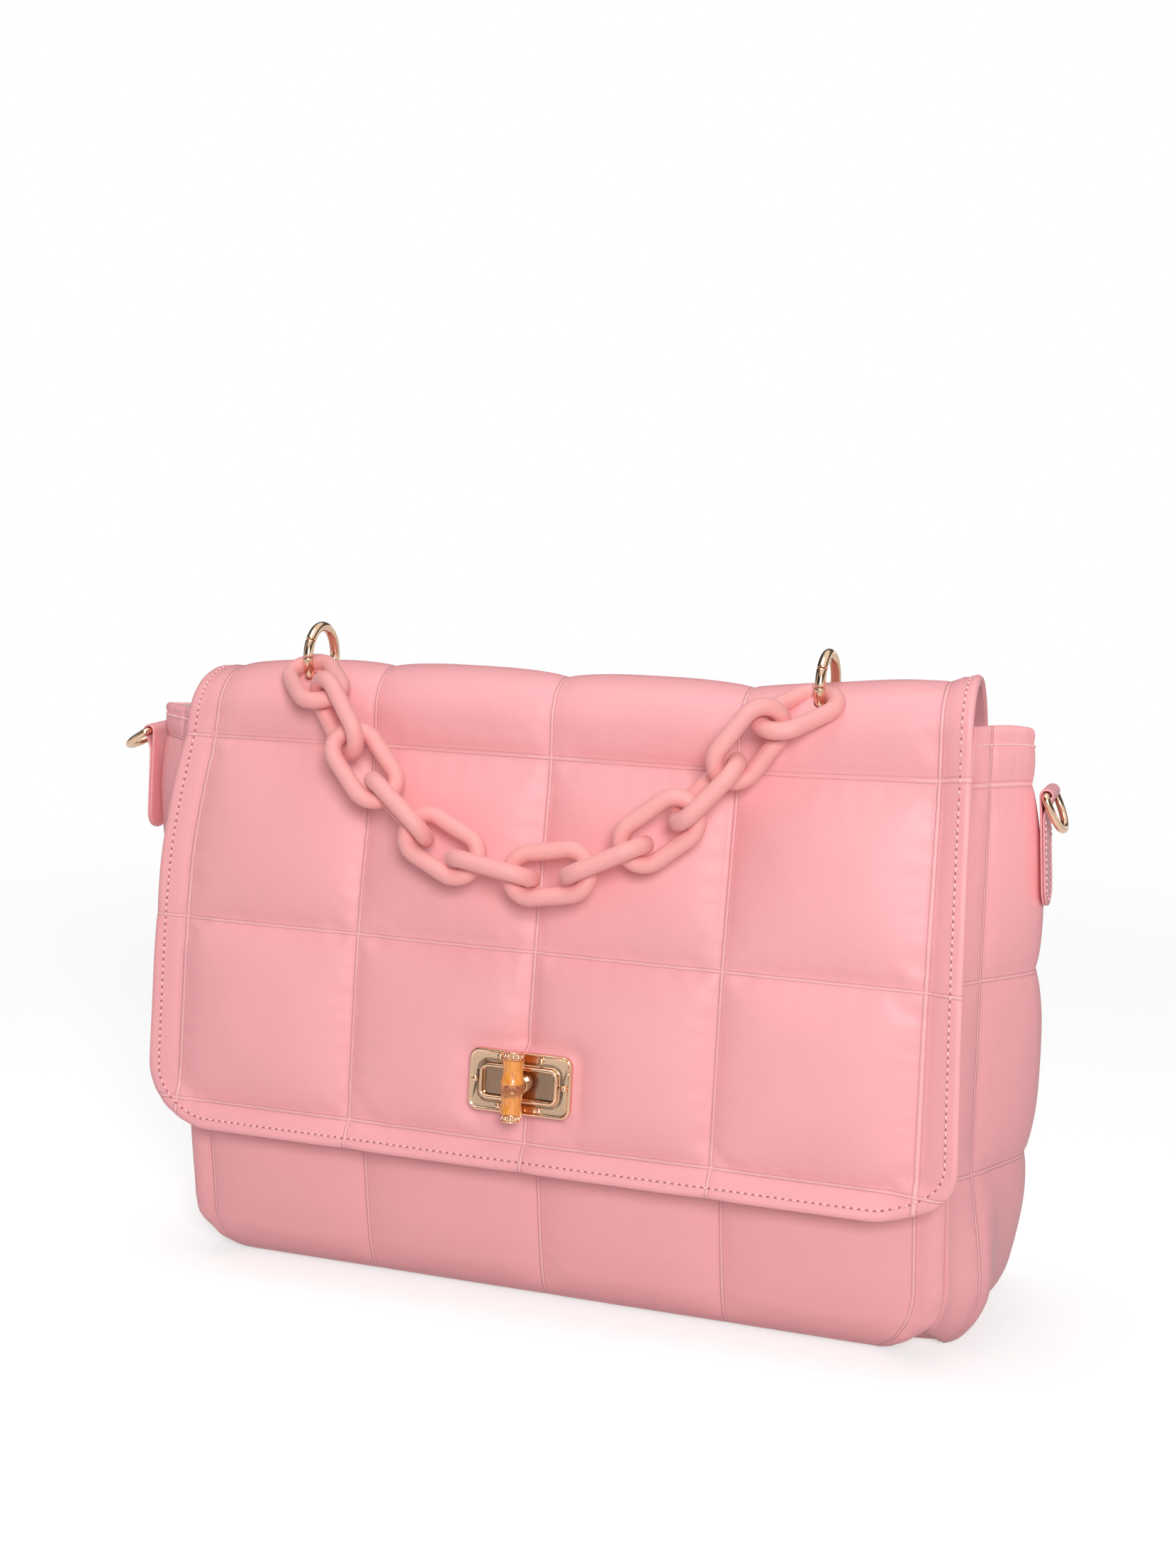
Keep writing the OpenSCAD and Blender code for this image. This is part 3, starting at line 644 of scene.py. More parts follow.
def on_flap(x, s, h):
    """A point on the flap; its back hem is thick round the hinge's axis, so no slit opens there."""
    y, z, ny, nz = on_trail(FLAP_LINE, FLAP_LENGTH, s)
    drawn = 8 * ease(-50, -SEAM_X, x) * ease(0, 25, s) * (1 - ease(35, 120, s))
    spread = 0.04 * max(0, s - 12) * ease(SEAM_X - 17, SEAM_X, x) - 4.8 * ease(17 - SEAM_X, -SEAM_X, x) * ease(8, 45, s)
    hem = 1.6 * (1 - ease(0, 4, s))
    return settle(Vector((x + drawn + spread, y - ny * h, z - nz * h - hem)))


def on_front(x, s, h):
    y, z, ny, nz = on_trail(FRONT_LINE, FRONT_LENGTH, s)
    return gathered(Vector((squeezed(x, z), y + ny * h, max(0.02, z + nz * h))))


def on_back(x, s, h):
    y, z, ny, nz = on_trail(BACK_LINE, BACK_LENGTH, s)
    return gathered(Vector((-squeezed(x, z), y - ny * h, max(0.02, z - nz * h))))


# ---- quilted surfaces


def plate_rest(x, s):
    """How free of the lock plate the leather is, 0 to 1, and how far it swells round the plate."""
    z = on_trail(FLAP_LINE, FLAP_LENGTH, s)[1]
    away = hypot(max(0, abs(x) - 16), max(0, abs(z - LOCK_Z) - 8))
    return ease(0.5, 4.5, away), 0.9 * ease(2, 12, away) * (1 - ease(10, 32, away))


def edge_distance(x, s):
    """Distance in from the flap's side and lower edges."""
    across, along = SEAM_X - abs(x), FLAP_LENGTH - s
    if across < FLAP_CORNER and along < FLAP_CORNER:
        return FLAP_CORNER - hypot(FLAP_CORNER - across, FLAP_CORNER - along)
    return min(across, along)


STITCH_IN = 3.6


def flap_top(x, s):
    down = ease(40, 80, s)
    free, swell = plate_rest(x, s)
    swell += 2.3 * (1 - ease(1.5, 8, s))
    dip = mix(2.2, bpy.context.scene.bag_sizes.tuft, down) * free * ease(0, 14, s)
    edge = edge_distance(x, s)
    dip *= (1 - padding("flap", x, s, FLAP_STEP, mix(0.5, 0.72, down))) * mix(0.35, 1, ease(2, 11, edge))
    seam = 0.7 * exp(-((edge - STITCH_IN) / 1.3) ** 2) + 0.9 * (1 - ease(0, 2.4, edge))
    return 0.3 + swell - dip - seam + edge_curl(x, s)


def edge_curl(x, s):
    """The right edge stands forward and the left one lies back."""
    curl = bpy.context.scene.bag_sizes.curl * (1 if x > 0 else -1.6)
    return curl * ease(SEAM_X - 20, SEAM_X, abs(x)) ** 2 * ease(6, 50, s)


def flap_under(x, s):
    return min(-FLAP_SKIN + edge_curl(x, s), flap_top(x, s) - 1.1)


def facing_top(x, s):
    return flap_under(x, s) - 0.12


def facing_under(x, s):
    return facing_top(x, s) - FACING_T


FRONT_ROWS_FROM = FRONT_LENGTH - BODY_H + SQUARE - 0.6


def wall_height(x, s, z, rim):
    """Outer height of a quilted wall: squares stand proud lower down and sink to nothing at the rim."""
    proud = 1.6 * ease(3, 30, z) * (1 - ease(rim - 40, rim - 5, z))
    pressed = ease(-2, 14, z) * (1 - 0.9 * ease(rim - 16, rim - 3, z))
    return proud - (3.4 + proud * 0.4) * (1 - padding("wall", squeezed(x, z), s, FRONT_ROWS_FROM)) * pressed


def front_top(x, s):
    z = on_trail(FRONT_LINE, FRONT_LENGTH, s)[1]
    seam = 1.6 * exp(-((SEAM_X - abs(x)) / 3.0) ** 2)
    return wall_height(x, s, z, BODY_H) * ease(9, 18, hypot(x, z - LOCK_Z)) - seam


def back_top(x, s):
    return wall_height(x, s, on_trail(BACK_LINE, BACK_LENGTH, s)[1], ARCH[1])


# ---- gussets

CORNER_RUN = CORNER_R * pi / 2
GUSSET_LENGTH = CORNER_RUN + BODY_H - CORNER_R


def fold_out(z):
    """How far the gusset's fold stands out of its seams at a height."""
    return FOLD * sin(radians(FOLD_TURN) * (max(0.0, z) / BODY_H) ** FOLD_BEND)


FOLD_SHARES = ((0, 0), (0.4, 0.86), (0.5, 1), (0.6, 0.86), (1, 0))


def fold_share(w):
    w = min(1.0, max(0.0, w))
    for (a, p), (b, q) in zip(FOLD_SHARES, FOLD_SHARES[1:]):
        if w <= b:
            return mix(p, q, (w - a) / (b - a))


def soft_share(w):
    """The fold's section with its straight runs rounded."""
    reach = 0.05 * ease(0, 0.15, min(w, 1 - w))
    return sum(fold_share(w + reach * k / 3) for k in range(-3, 4)) / 7


def inner_y(z, rise, side):
    if z < EDGE_R:
        low = max(0, z - 2)
        if low < PANEL_T:
            return side * FOOT_Y
        return side * (FOOT_Y + sqrt(max(0, (EDGE_R - PANEL_T) ** 2 - (EDGE_R - low) ** 2)))
    return rise(z) - side * PANEL_T


def gusset_form(w, t, inset=0.0, gap=0.3):
    """A point of the right gusset: w across from the front seam, t along from the base."""
    if t < CORNER_RUN:
        a = t / CORNER_R
        px, pz, nx, nz = FOOT_X + CORNER_R * sin(a), CORNER_R * (1 - cos(a)), sin(a), -cos(a)
    else:
        px, pz, nx, nz = SEAM_X, CORNER_R + t - CORNER_RUN, 1, 0
    out = soft_share(w) * fold_out(pz) - inset
    y = mix(inner_y(pz, front_rise, -1) + gap, inner_y(pz, back_rise, 1) - gap, w)
    return Vector((px + nx * out, y, max(0.0, pz + nz * out)))


def on_gusset(w, t, h):
    centre = gusset_form(w, t)
    step = 0.01
    across = gusset_form(min(1, w + step), t) - gusset_form(max(0, w - step), t)
    along = gusset_form(w, t + 1) - gusset_form(w, max(0, t - 1))
    normal = across.cross(along).normalized()
    placed = centre + normal * h
    placed.z = max(0.02, placed.z)
    return placed


def on_side(side, x, t, h):
    """A point on the left (-1) or right (1) gusset, a hair outside its seam: x across from its middle."""
    p = on_gusset(x / GUSSET_WIDE + 0.5, t, h)
    return gathered(Vector((side * (p.x + 0.06), p.y, p.z)))


GUSSET_WIDE = 96
RIM_SEAM = 4.5
GUSSET_ROWS = tuple(z - CORNER_R + CORNER_RUN for z in (67, 135, 196))


def gusset_row(t):
    """Rows of squares up the gusset: a whole number on each quilting line."""
    low, mid, high = GUSSET_ROWS
    return (t - mid) / (mid - low if t < mid else high - mid)


# ---- operators


def balled(bm, subdivisions, place, slot):
    """A ball in a frame, in one of the mesh's material slots."""
    made = ops.create_icosphere(bm, subdivisions=subdivisions, radius=1, matrix=place)
    for face in {face for v in made["verts"] for face in v.link_faces}:
        face.material_index = slot


def stitches(name, body, ground, stops, length):
    """A row of stitches lying on a piece, at stops of (place, along) in millimetres, with a dark ball of painted shade
    sunk in each needle hole.
    """
    bpy.context.view_layer.update()
    tree = BVHTree.FromObject(ground, bpy.context.evaluated_depsgraph_get())
    bm = bmesh.new()

    def frame_near(point, along, lift):
        place, out, _, _ = tree.find_nearest(point * MM)
        along = (along - out * along.dot(out)).normalized()
        return framed(along, out.cross(along), out, place / MM + out * lift)

    for centre, along in stops:
        lying = frame_near(centre, along, 0.12)
        ops.create_icosphere(bm, subdivisions=1, radius=1, matrix=lying @ scaled(length * 0.4, 0.42, 0.4))
        # Painted shade: a flat dark ball sunk in the needle hole after each stitch
        hole_shade_frame = frame_near(centre + along.normalized() * length / 2, along, -0.04)
        balled(bm, 1, hole_shade_frame @ scaled(0.72, 0.46, 0.2), 1)
    made = piece(name, bm, thread(), body)
    made.data.materials.append(needle_hole_shade())
    return made


def spaced(points, pitch):
    """Stops at an even pitch along a run of points, as (point, direction)."""
    stops, left = [], pitch / 2
    for a, b in zip(points, points[1:]):
        run = (b - a).length
        if run < 1e-6:
            continue
        while left <= run:
            stops.append((a.lerp(b, left / run), (b - a) / run))
            left += pitch
        left -= run
    return stops


def seam_stops(line, pitch, at, step):
    """Stops of a seam: the flat pattern's line, and what lays a pattern point on the piece."""
    stops = []
    for point, way in spaced([Vector((x, s, 0)) for x, s in line], pitch):
        here = at(point.x, point.y)
        ahead = point + way * step
        stops.append((here, at(ahead.x, ahead.y) - here))
    return stops


class BAG_OT_flap(bpy.types.Operator):
    """Quilted flap with its facing, its holes and its stitching"""
    bl_idname = "bag.flap"
    bl_label = "Make the flap"

    def execute(self, context):
        filled("flap", 2 * SEAM_X, FLAP_LENGTH, lambda x, s: min(
            square_lines(x, s, FLAP_STEP), abs(edge_distance(x, s) - STITCH_IN), s, 30 * plate_rest(x, s)[0]))
        columns = round(2 * SEAM_X / GRID)
        bm = slab(SEAM_X, FLAP_LENGTH, FLAP_SKIN, columns, FLAP_ROWS, FLAP_CORNER)
        patterned(bm, lambda x: x / SQUARE, lambda s: (s - FLAP_STEP) / ROW_PITCH)
        laid(bm, FLAP_SKIN, on_flap, flap_top, flap_under)
        skin = piece("flap_skin", bm, leather(), "flap", ["flap_outer"])
        bm = slab(SEAM_X - 0.6, FLAP_LENGTH - 0.6, FACING_T, columns // 2, FLAP_ROWS // 2, FLAP_CORNER, 0.3)
        laid(bm, FACING_T, on_flap, facing_top, facing_under)
        facing = piece("flap_facing", bm, leather(False), "flap", ["flap_lining"])
        for target in (skin, facing):
            for tool in (ring_cutter(-RING_X), ring_cutter(RING_X), eye_cutter()):
                pierce(target, tool)
        centre_x, centre_s, bend = SEAM_X - FLAP_CORNER, FLAP_LENGTH - FLAP_CORNER, FLAP_CORNER - STITCH_IN
        line = [(STITCH_IN - SEAM_X, s) for s in (*range(3, int(centre_s)), centre_s)]
        line += [(-centre_x - bend * cosd(a), centre_s + bend * sind(a)) for a in range(5, 90, 5)]
        line.append((STITCH_IN - centre_x, FLAP_LENGTH - STITCH_IN))
        line += [(-x, s) for x, s in reversed(line)]
        pitch = context.scene.bag_sizes.stitch
        stops = seam_stops(line, pitch, lambda x, s: on_flap(x, s, flap_top(x, s) + 0.1), 0.5)
        stitches("flap_stitching", "flap", skin, stops, pitch)
        return {"FINISHED"}


class BAG_OT_walls(bpy.types.Operator):
    """Quilted front and back walls and the base between them"""
    bl_idname = "bag.walls"
    bl_label = "Make the walls"

    def execute(self, context):
        long = max(FRONT_LENGTH, BACK_LENGTH)
        filled("wall", 2 * SEAM_X, long, lambda x, s: min(
            square_lines(x, s, FRONT_ROWS_FROM), SEAM_X - abs(x), s, long - s))
        columns = round(2 * SEAM_X / GRID)
        for name, node, length, at, top in (
                ("front_wall", "front_panel", FRONT_LENGTH, on_front, front_top),
                ("back_wall", "back_panel", BACK_LENGTH, on_back, back_top)):
            bm = slab(SEAM_X, length, PANEL_T, columns, round(length / GRID), edge=0.38)
            patterned(bm, lambda x: x / SQUARE, lambda s: (s - FRONT_ROWS_FROM) / ROW_PITCH)
            laid(bm, PANEL_T, at, top, lambda x, s: -PANEL_T)
            wall = piece(name, bm, leather(), "body", [node])
            if name == "front_wall":
                pierce(wall, lock_cutter())
        bm = slab(FOOT_X, 2 * FOOT_Y - 0.1, PANEL_T, 118, 32, edge=0.2)
        patterned(bm, lambda x: x / SQUARE, lambda s: (s - FOOT_Y) / ROW_PITCH + 0.5)
        laid(bm, PANEL_T, lambda x, s, h: Vector((-x, s - FOOT_Y + 0.05, -h)),
             lambda x, s: -0.02 - 1.2 * (1 - crown(line_distance(x, 0, SQUARE), SQUARE / 2)),
             lambda x, s: -PANEL_T)
        base = piece("base_wall", bm, leather(), "body", ["base_panel"])
        return {"FINISHED"}


class BAG_OT_gussets(bpy.types.Operator):
    """Folded, quilted gussets with their stitched rims"""
    bl_idname = "bag.gussets"
    bl_label = "Make the gussets"

    def execute(self, context):
        filled("gusset", GUSSET_WIDE, GUSSET_LENGTH, lambda x, t: min(
            line_distance(x, SQUARE / 2, SQUARE), GUSSET_WIDE / 2 - abs(x), line_distance(gusset_row(t), 0, 1) * SQUARE,
            t, GUSSET_LENGTH - t))

        def top(side, x, t):
            across = line_distance(x, SQUARE / 2, SQUARE)
            square = crown(across, SQUARE / 2, 0.5) * crown(line_distance(gusset_row(t), 0, 1), 0.5, 0.5)
            seam = GUSSET_WIDE / 2 - abs(x)
            rim = 0.7 * exp(-((GUSSET_LENGTH - t - RIM_SEAM) / 1.4) ** 2)
            roll = 8 if side > 0 and x < 0 else -3
            roll *= exp(-((seam - 17) / 10) ** 2) * ease(4, 26, t) * (1 - ease(40, 95, t))
            return (1.4 - 3.0 * (1 - relief("gusset", x, t, square))) * ease(0, 30, t) * ease(0, 6, seam) - rim + roll

        for side, name, node in ((-1, "side_wall_left", "gusset_left"), (1, "side_wall_right", "gusset_right")):
            bm = slab(GUSSET_WIDE / 2, GUSSET_LENGTH, GUSSET_T, 52, 112, edge=0.4)
            patterned(bm, lambda x: x / SQUARE + 0.5, gusset_row)
            laid(bm, GUSSET_T, lambda x, t, h: on_side(side, x, t, h), lambda x, t: top(side, x, t),
                 lambda x, t: min(-GUSSET_T, top(side, x, t) - 1.2))
            if side < 0:
                ops.reverse_faces(bm, faces=bm.faces)
            wall = piece(name, bm, leather(), "body", [node])
            pitch = context.scene.bag_sizes.stitch
            line = [(w / 100 * GUSSET_WIDE - GUSSET_WIDE / 2, GUSSET_LENGTH - RIM_SEAM) for w in range(5, 95)]
            stops = seam_stops(line, pitch, lambda x, t: on_side(side, x, t, top(side, x, t) + 0.1), GUSSET_WIDE / 100)
            stitches(name + "_stitching", "body", wall, stops, pitch)
        return {"FINISHED"}


class BAG_OT_lining(bpy.types.Operator):
    """Cloth lining of the pocket, and the board under it"""
    bl_idname = "bag.lining"
    bl_label = "Make the lining"

    def execute(self, context):
        inset, gap = 6.2, 0.4
        start, levels, across = CORNER_RUN / 2, 44, 24

        def ring(t, drop):
            right = [gusset_form(i / 12, t, inset, gap) for i in range(13)]
            left = [Vector((-p.x, p.y, p.z)) for p in reversed(right)]
            loop = []
            for side, other in ((right, left), (left, right)):
                loop += side + [side[-1].lerp(other[0], i / across) for i in range(1, across)]
            return [gathered(Vector((p.x, p.y, p.z - drop))) for p in loop]

        rings = [ring(start + (GUSSET_LENGTH - start) * k / levels, 0.6 if k == levels else 0) for k in range(levels + 1)]
        bm = bmesh.new()
        verts = [bm.verts.new(p) for p in rings[0]]
        edges = [bm.edges.new(pair) for pair in round_pairs(verts)]
        ops.contextual_create(bm, geom=edges)
        for last, here in zip(rings, rings[1:]):
            edges, fresh = grown(bm, edges)
            for v in fresh:
                v.co = here[min(range(len(last)), key=lambda i: (last[i] - v.co).length_squared)]
        ops.recalc_face_normals(bm, faces=bm.faces)
        pocket = piece("pocket_lining", bm, cloth(), "body", ["lining"])
        wall = pocket.modifiers.new("cloth thickness", "SOLIDIFY")
        wall.thickness = 1.1 * MM
        wall.offset = -1
        girth = sum((a - b).length for a, b in round_pairs(ring(150, 0)))
        board = frame["nodes"]["base_board"]
        board.data.materials.clear()
        board.data.materials.append(fibreboard())
        return {"FINISHED"}


RING_X = 95
RING_C = (ARCH[0] - 4, CREST_Z + 3.8)
RING_R = 10.7
RING_WIRE = 3.6


def pierce(target, cutter):
    """Cuts a closed cutter out of a piece for good."""
    cut = target.modifiers.new("cut", "BOOLEAN")
    cut.object = cutter
    cut.solver = "EXACT"
    bpy.context.view_layer.update()
    shaped = bpy.data.meshes.new_from_object(target.evaluated_get(bpy.context.evaluated_depsgraph_get()))
    old = target.data
    target.modifiers.clear()
    target.data = shaped
    shaped.name = target.name
    bpy.data.meshes.remove(old)
    bpy.data.objects.remove(cutter)


def ring_stops(x, start, end, count):
    """Frames round a shoulder ring, from and to an angle in degrees."""
    return [move(x, *RING_C) @ spin(mix(start, end, i / count), "X") @ move(0, RING_R, 0) for i in range(count + 1)]


def ring_cutter(x):
    return bare("cutter", swept(ring_stops(x, 0, 352.5, 47), RING_WIRE / 2 + 0.35, 24, True))


def at_lock():
    """The lock's frame: its face is y = 0 and -y points out."""
    return move(0, LOCK_Y, LOCK_Z) @ spin(-LEAN, "X")


def eye_cutter():
    """A prism a little larger than the eye's opening, with rounded corners."""
    bm = bmesh.new()
    ops.create_cube(bm, size=1, matrix=scaled(27, 40, 10.6))
    upright = [e for e in bm.edges if abs(e.verts[0].co.y - e.verts[1].co.y) > 1]
    bevelled(bm, upright, 1.9, 5)
    ops.transform(bm, matrix=at_lock(), verts=bm.verts)
    return bare("cutter", bm)


def lock_cutter():
    """The lock's seat in the front wall."""
    bm = bmesh.new()
    depth = (front_rise(LOCK_Z) - LOCK_Y) / cosd(LEAN)
    for r, start, end in ((8.3, -6, 1.55), (3.45, -1, PANEL_T + 3), (8.3, 2.6, PANEL_T + 3)):
        place = at_lock() @ spin(90, "X") @ move(0, 0, -(depth + (start + end) / 2))
        ops.create_cone(bm, cap_ends=True, segments=48, radius1=r, radius2=r, depth=end - start, matrix=place)
    return bare("cutter", bm)


class BAG_OT_shoulder_rings(bpy.types.Operator):
    """Rings at the top of the flap, with their spring gates"""
    bl_idname = "bag.shoulder_rings"
    bl_label = "Make the shoulder rings"

    def execute(self, context):
        for side, word in ((-1, "left"), (1, "right")):
            for name, node, start, end, count in (
                    ("shoulder_ring", "top_ring", 178, 503, 90), ("spring_gate", "gate", 145, 176, 10)):
                bm = swept(ring_stops(side * RING_X, start, end, count), RING_WIRE / 2, 24)
                rims = [e for e in bm.edges if any(len(f.verts) > 4 for f in e.link_faces)]
                bevelled(bm, rims, 0.3, 2)
                piece(f"{name}_{word}", bm, metal(), owner(f"{node}_{word}"), [f"{node}_{word}"], 50)
        return {"FINISHED"}


def owner(node):
    """The body that a CAD node rides on."""
    return frame["nodes"][node]["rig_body"]


class BAG_OT_tabs(bpy.types.Operator):
    """Folded leather tabs on the gussets, with their side rings"""
    bl_idname = "bag.tabs"
    bl_label = "Make the tabs and side rings"

    def execute(self, context):
        wide, layer, long, loop_z = 14.4, 1.6, 38, 197
        top_x, low_x = (SEAM_X + fold_out(z) + 0.3 + 3.25 for z in (loop_z, loop_z - long))
        mid = loop_z - long / 2
        y = (front_rise(mid) + back_rise(mid)) / 2
        loop, back_x, across = 2.47, 0.69, 10
        path = [(-2.41, i - long) for i in range(37)]
        path += [(-loop * sind(a), -loop * cosd(a)) for a in range(78, 330, 12)]
        path += [(mix(-back_x, 0.6, ease(0, 5, i)), i - 7.5) for i in (4.5, 3.5, 2.5, 1.5)]
        path += [(-back_x, i - long) for i in range(31, -1, -1)]
        wire, r, leg, bend = 1.35, 8.9, 3.9, 1.2

        def arc(y, z, radius, start, angles):
            """Frames round an arc in the ring's own plane, at angles past a start angle."""
            return [move(0, y + radius * cosd(start + a), z + radius * sind(start + a))
                    @ spin(start + a, "X") for a in angles]

        corner = (22.5, 45, 67.5)
        frames = [move(0, at, 0) @ spin(90, "X") for at in (r - bend, 3, -3, bend - r)]
        frames += arc(bend - r, -bend, bend, 90, (*corner, 90))
        frames += arc(0, -leg, r, 180, range(0, 181, 9))
        frames += arc(r - bend, -bend, bend, 360, (0, *corner))
        for side, word, tilt in ((-1, "left", 58), (1, "right", 24)):
            place = move(side * top_x, y, loop_z)
            bm = bmesh.new()
            verts = [bm.verts.new((path[0][0], mix(-1, 1, i / across), path[0][1])) for i in range(across + 1)]
            edges = [bm.edges.new(pair) for pair in zip(verts, verts[1:])]
            for (ax, az), (bx, bz) in zip(path, path[1:]):
                edges, fresh = grown(bm, edges)
                ops.translate(bm, vec=(bx - ax, 0, bz - az), verts=fresh)
            low = wide / 2 - long
            for v in bm.verts:
                below = max(0.0, low - v.co.z) / (wide / 2)
                v.co.y *= sqrt(max(0.02, 1 - below ** 2)) * (wide - layer * 0.3) / 2
            ops.recalc_face_normals(bm, faces=bm.faces)
            ops.solidify(bm, geom=bm.faces[:], thickness=layer / 2)
            lean = Matrix.Rotation(-side * atan2(low_x - top_x, long), 4, "Y")
            turn = place @ lean @ scaled(side, 1, 1)
            ops.transform(bm, matrix=turn, verts=bm.verts)
            ops.recalc_face_normals(bm, faces=bm.faces)
            tab = piece(f"ring_tab_{word}", bm, leather(False), "body", [f"tab_{word}"])
            soft = tab.modifiers.new("rounded", "SUBSURF")
            soft.levels = soft.render_levels = 1
            pitch = context.scene.bag_sizes.stitch * 0.8
            half = wide / 2 - 2
            line = [(-half, z) for z in range(-8, int(low), -1)]
            line += [(-half * cosd(a), low - half * sind(a)) for a in range(0, 181, 15)]
            line += [(half, z) for z in range(int(low), -7)]
            line = [Vector((0.14, at, z)) for at, z in line]
            stops = [(turn @ p, turn.to_3x3() @ way) for p, way in spaced(line, pitch)]
            stitches(f"ring_tab_{word}_stitching", "body", tab, stops, pitch)
            bm = swept(frames, wire, 16, True)
            ops.transform(bm, matrix=place @ spin(-side * tilt, "Y"), verts=bm.verts)
            node = f"side_ring_{word}"
            piece(f"strap_ring_{word}", bm, metal(), owner(node), [node])
        return {"FINISHED"}


def outer(p):
    return Matrix([p * value for value in p])


def bearings(node):
    """Centre of a CAD node, and the second moments of its surface."""
    mesh = frame["nodes"][node].data
    mesh.calc_loop_triangles()
    corners = [([mesh.vertices[i].co for i in tri.vertices], tri.area) for tri in mesh.loop_triangles]
    centre = sum((sum(abc, Vector()) / 3 * area for abc, area in corners), Vector()) / sum(area for _, area in corners)
    spread = Matrix.Diagonal((0, 0, 0))
    for abc, area in corners:
        away = [p - centre for p in abc]
        for p in (*away, sum(away, Vector())):
            spread += outer(p) * (area / 12)
    return centre, spread


def main_axis(spread, start):
    """The direction of most spread, by repeated turning of a start direction."""
    way = Vector(start).normalized()
    for _ in range(80):
        way = (spread @ way).normalized()
    return way


class BAG_OT_chain(bpy.types.Operator):
    """Twelve resin links, each on its own body"""
    bl_idname = "bag.chain"
    bl_label = "Make the links"

    def execute(self, context):
        wire, bend, leg = 3.05, 7.7, 6.6
        for number in range(1, 13):
            node = f"link_{number}"
            centre, spread = bearings(node)
            along = main_axis(spread, (0.62, 0.35, 0.7))
            rest = spread - outer(along) * along.dot(spread @ along)
            across = main_axis(rest, (0.3, 0.9, -0.4))
            across = (across - along * across.dot(along)).normalized()
            stops = [spin(way, "Z") @ move(leg, 0, 0) @ spin(a, "Z") @ move(bend, 0, 0) @ spin(90, "X")
                     for way in (0, 180) for a in range(-90, 91, 10)]
            bm = swept(stops, wire, 20, True)
            frame_at = framed(along, across, along.cross(across), centre / MM)
            ops.transform(bm, matrix=frame_at, verts=bm.verts)
            ops.recalc_face_normals(bm, faces=bm.faces)
            piece(f"resin_link_{number:02d}", bm, resin(), owner(node), [node])
        return {"FINISHED"}


def eased_copy(node, name, material):
    """A CAD piece with its doubles merged, its flats joined and its sharp edges rounded."""
    bm = bmesh.new()
    bm.from_mesh(frame["nodes"][node].data)
    ops.scale(bm, vec=(1 / MM, 1 / MM, 1 / MM), verts=bm.verts)
    ops.remove_doubles(bm, verts=bm.verts, dist=0.002)
    ops.dissolve_limit(bm, angle_limit=radians(0.5), verts=bm.verts, edges=bm.edges)
    sharp = [e for e in bm.edges if len(e.link_faces) == 2 and e.calc_face_angle(0) > radians(40)]
    bevelled(bm, sharp, bpy.context.scene.bag_sizes.metal_edge, clamp=True)
    return piece(name, bm, material, owner(node), [node], 35)


class BAG_OT_lock(bpy.types.Operator):
    """Turn lock: eye plate and its back plate, studs, base and washer"""
    bl_idname = "bag.lock"
    bl_label = "Make the lock"

    def execute(self, context):
        for node, name in (("lock_plate_back", "eye_back_plate"), ("lock_studs", "plate_studs"),
                           ("lock_base", "lock_foot"), ("lock_washer", "lock_foot_washer"), ("knob_post", "turn_post")):
            eased_copy(node, name, metal())
        (plate_w, plate_h, plate_r), (eye_w, eye_h, eye_r) = (38, 22, 3.6), (26, 9.6, 1.4)
        rolled_rim = ((0, 0), (0, 0.6), (0, 1.0), (0.08, 1.4), (0.25, 1.7), (0.6, 1.95), (0.95, 1.85),
                      (1.15, 1.62), (1.3, 1.52), (1.6, 1.5))
        frame_rim = ((3.0, 1.5), (1.9, 1.5), (1.7, 1.6), (1.6, 1.9), (1.55, 2.7), (1.4, 3.2), (1.1, 3.5),
                     (0.75, 3.6), (0.4, 3.5), (0.15, 3.2), (0.02, 2.7), (0, 2.0), (0, 0))
        rings = [rounded(plate_w - 2 * inset, plate_h - 2 * inset, plate_r - inset, high) for inset, high in rolled_rim]
        rings += [rounded(eye_w + 2 * out, eye_h + 2 * out, eye_r + out, high) for out, high in frame_rim]
        bm = ringed(rings)
        ops.transform(bm, matrix=at_lock(), verts=bm.verts)
        piece("eye_plate", bm, metal(), owner("lock_plate"), ["lock_plate"], 60)
        return {"FINISHED"}


def rounded(wide, high, radius, out):
    """A rounded rectangle that stands out from the lock's face, as a list of points."""
    points = []
    for quarter in range(4):
        cx = (wide / 2 - radius) * (1 if quarter in (0, 3) else -1)
        cz = (high / 2 - radius) * (1 if quarter < 2 else -1)
        for i in range(9):
            a = radians(90 * quarter + 90 * i / 8)
            points.append(Vector((cx + radius * cos(a), -0.05 - out, cz + radius * sin(a))))
    return points


def ringed(rings):
    """A closed skin through rings of points, bridged one to the next and the last to the first."""
    bm = bmesh.new()
    loops = []
    for points in rings:
        verts = [bm.verts.new(p) for p in points]
        loops.append([bm.edges.new(pair) for pair in round_pairs(verts)])
    for one, other in round_pairs(loops):
        ops.bridge_loops(bm, edges=one + other)
    ops.recalc_face_normals(bm, faces=bm.faces)
    return bm


def turned(profile, sides, matrix):
    """A profile of (radius, height) points spun round its axis, closed at both poles."""
    bm = bmesh.new()
    verts = [bm.verts.new((r, 0, z)) for r, z in profile]
    edges = [bm.edges.new(pair) for pair in zip(verts, verts[1:])]
    ops.spin(bm, geom=verts + edges, cent=(0, 0, 0), axis=(0, 0, 1), angle=2 * pi, steps=sides, use_merge=True)
    ops.remove_doubles(bm, verts=bm.verts, dist=0.001)
    ops.recalc_face_normals(bm, faces=bm.faces)
    ops.transform(bm, matrix=matrix, verts=bm.verts)
    return bm


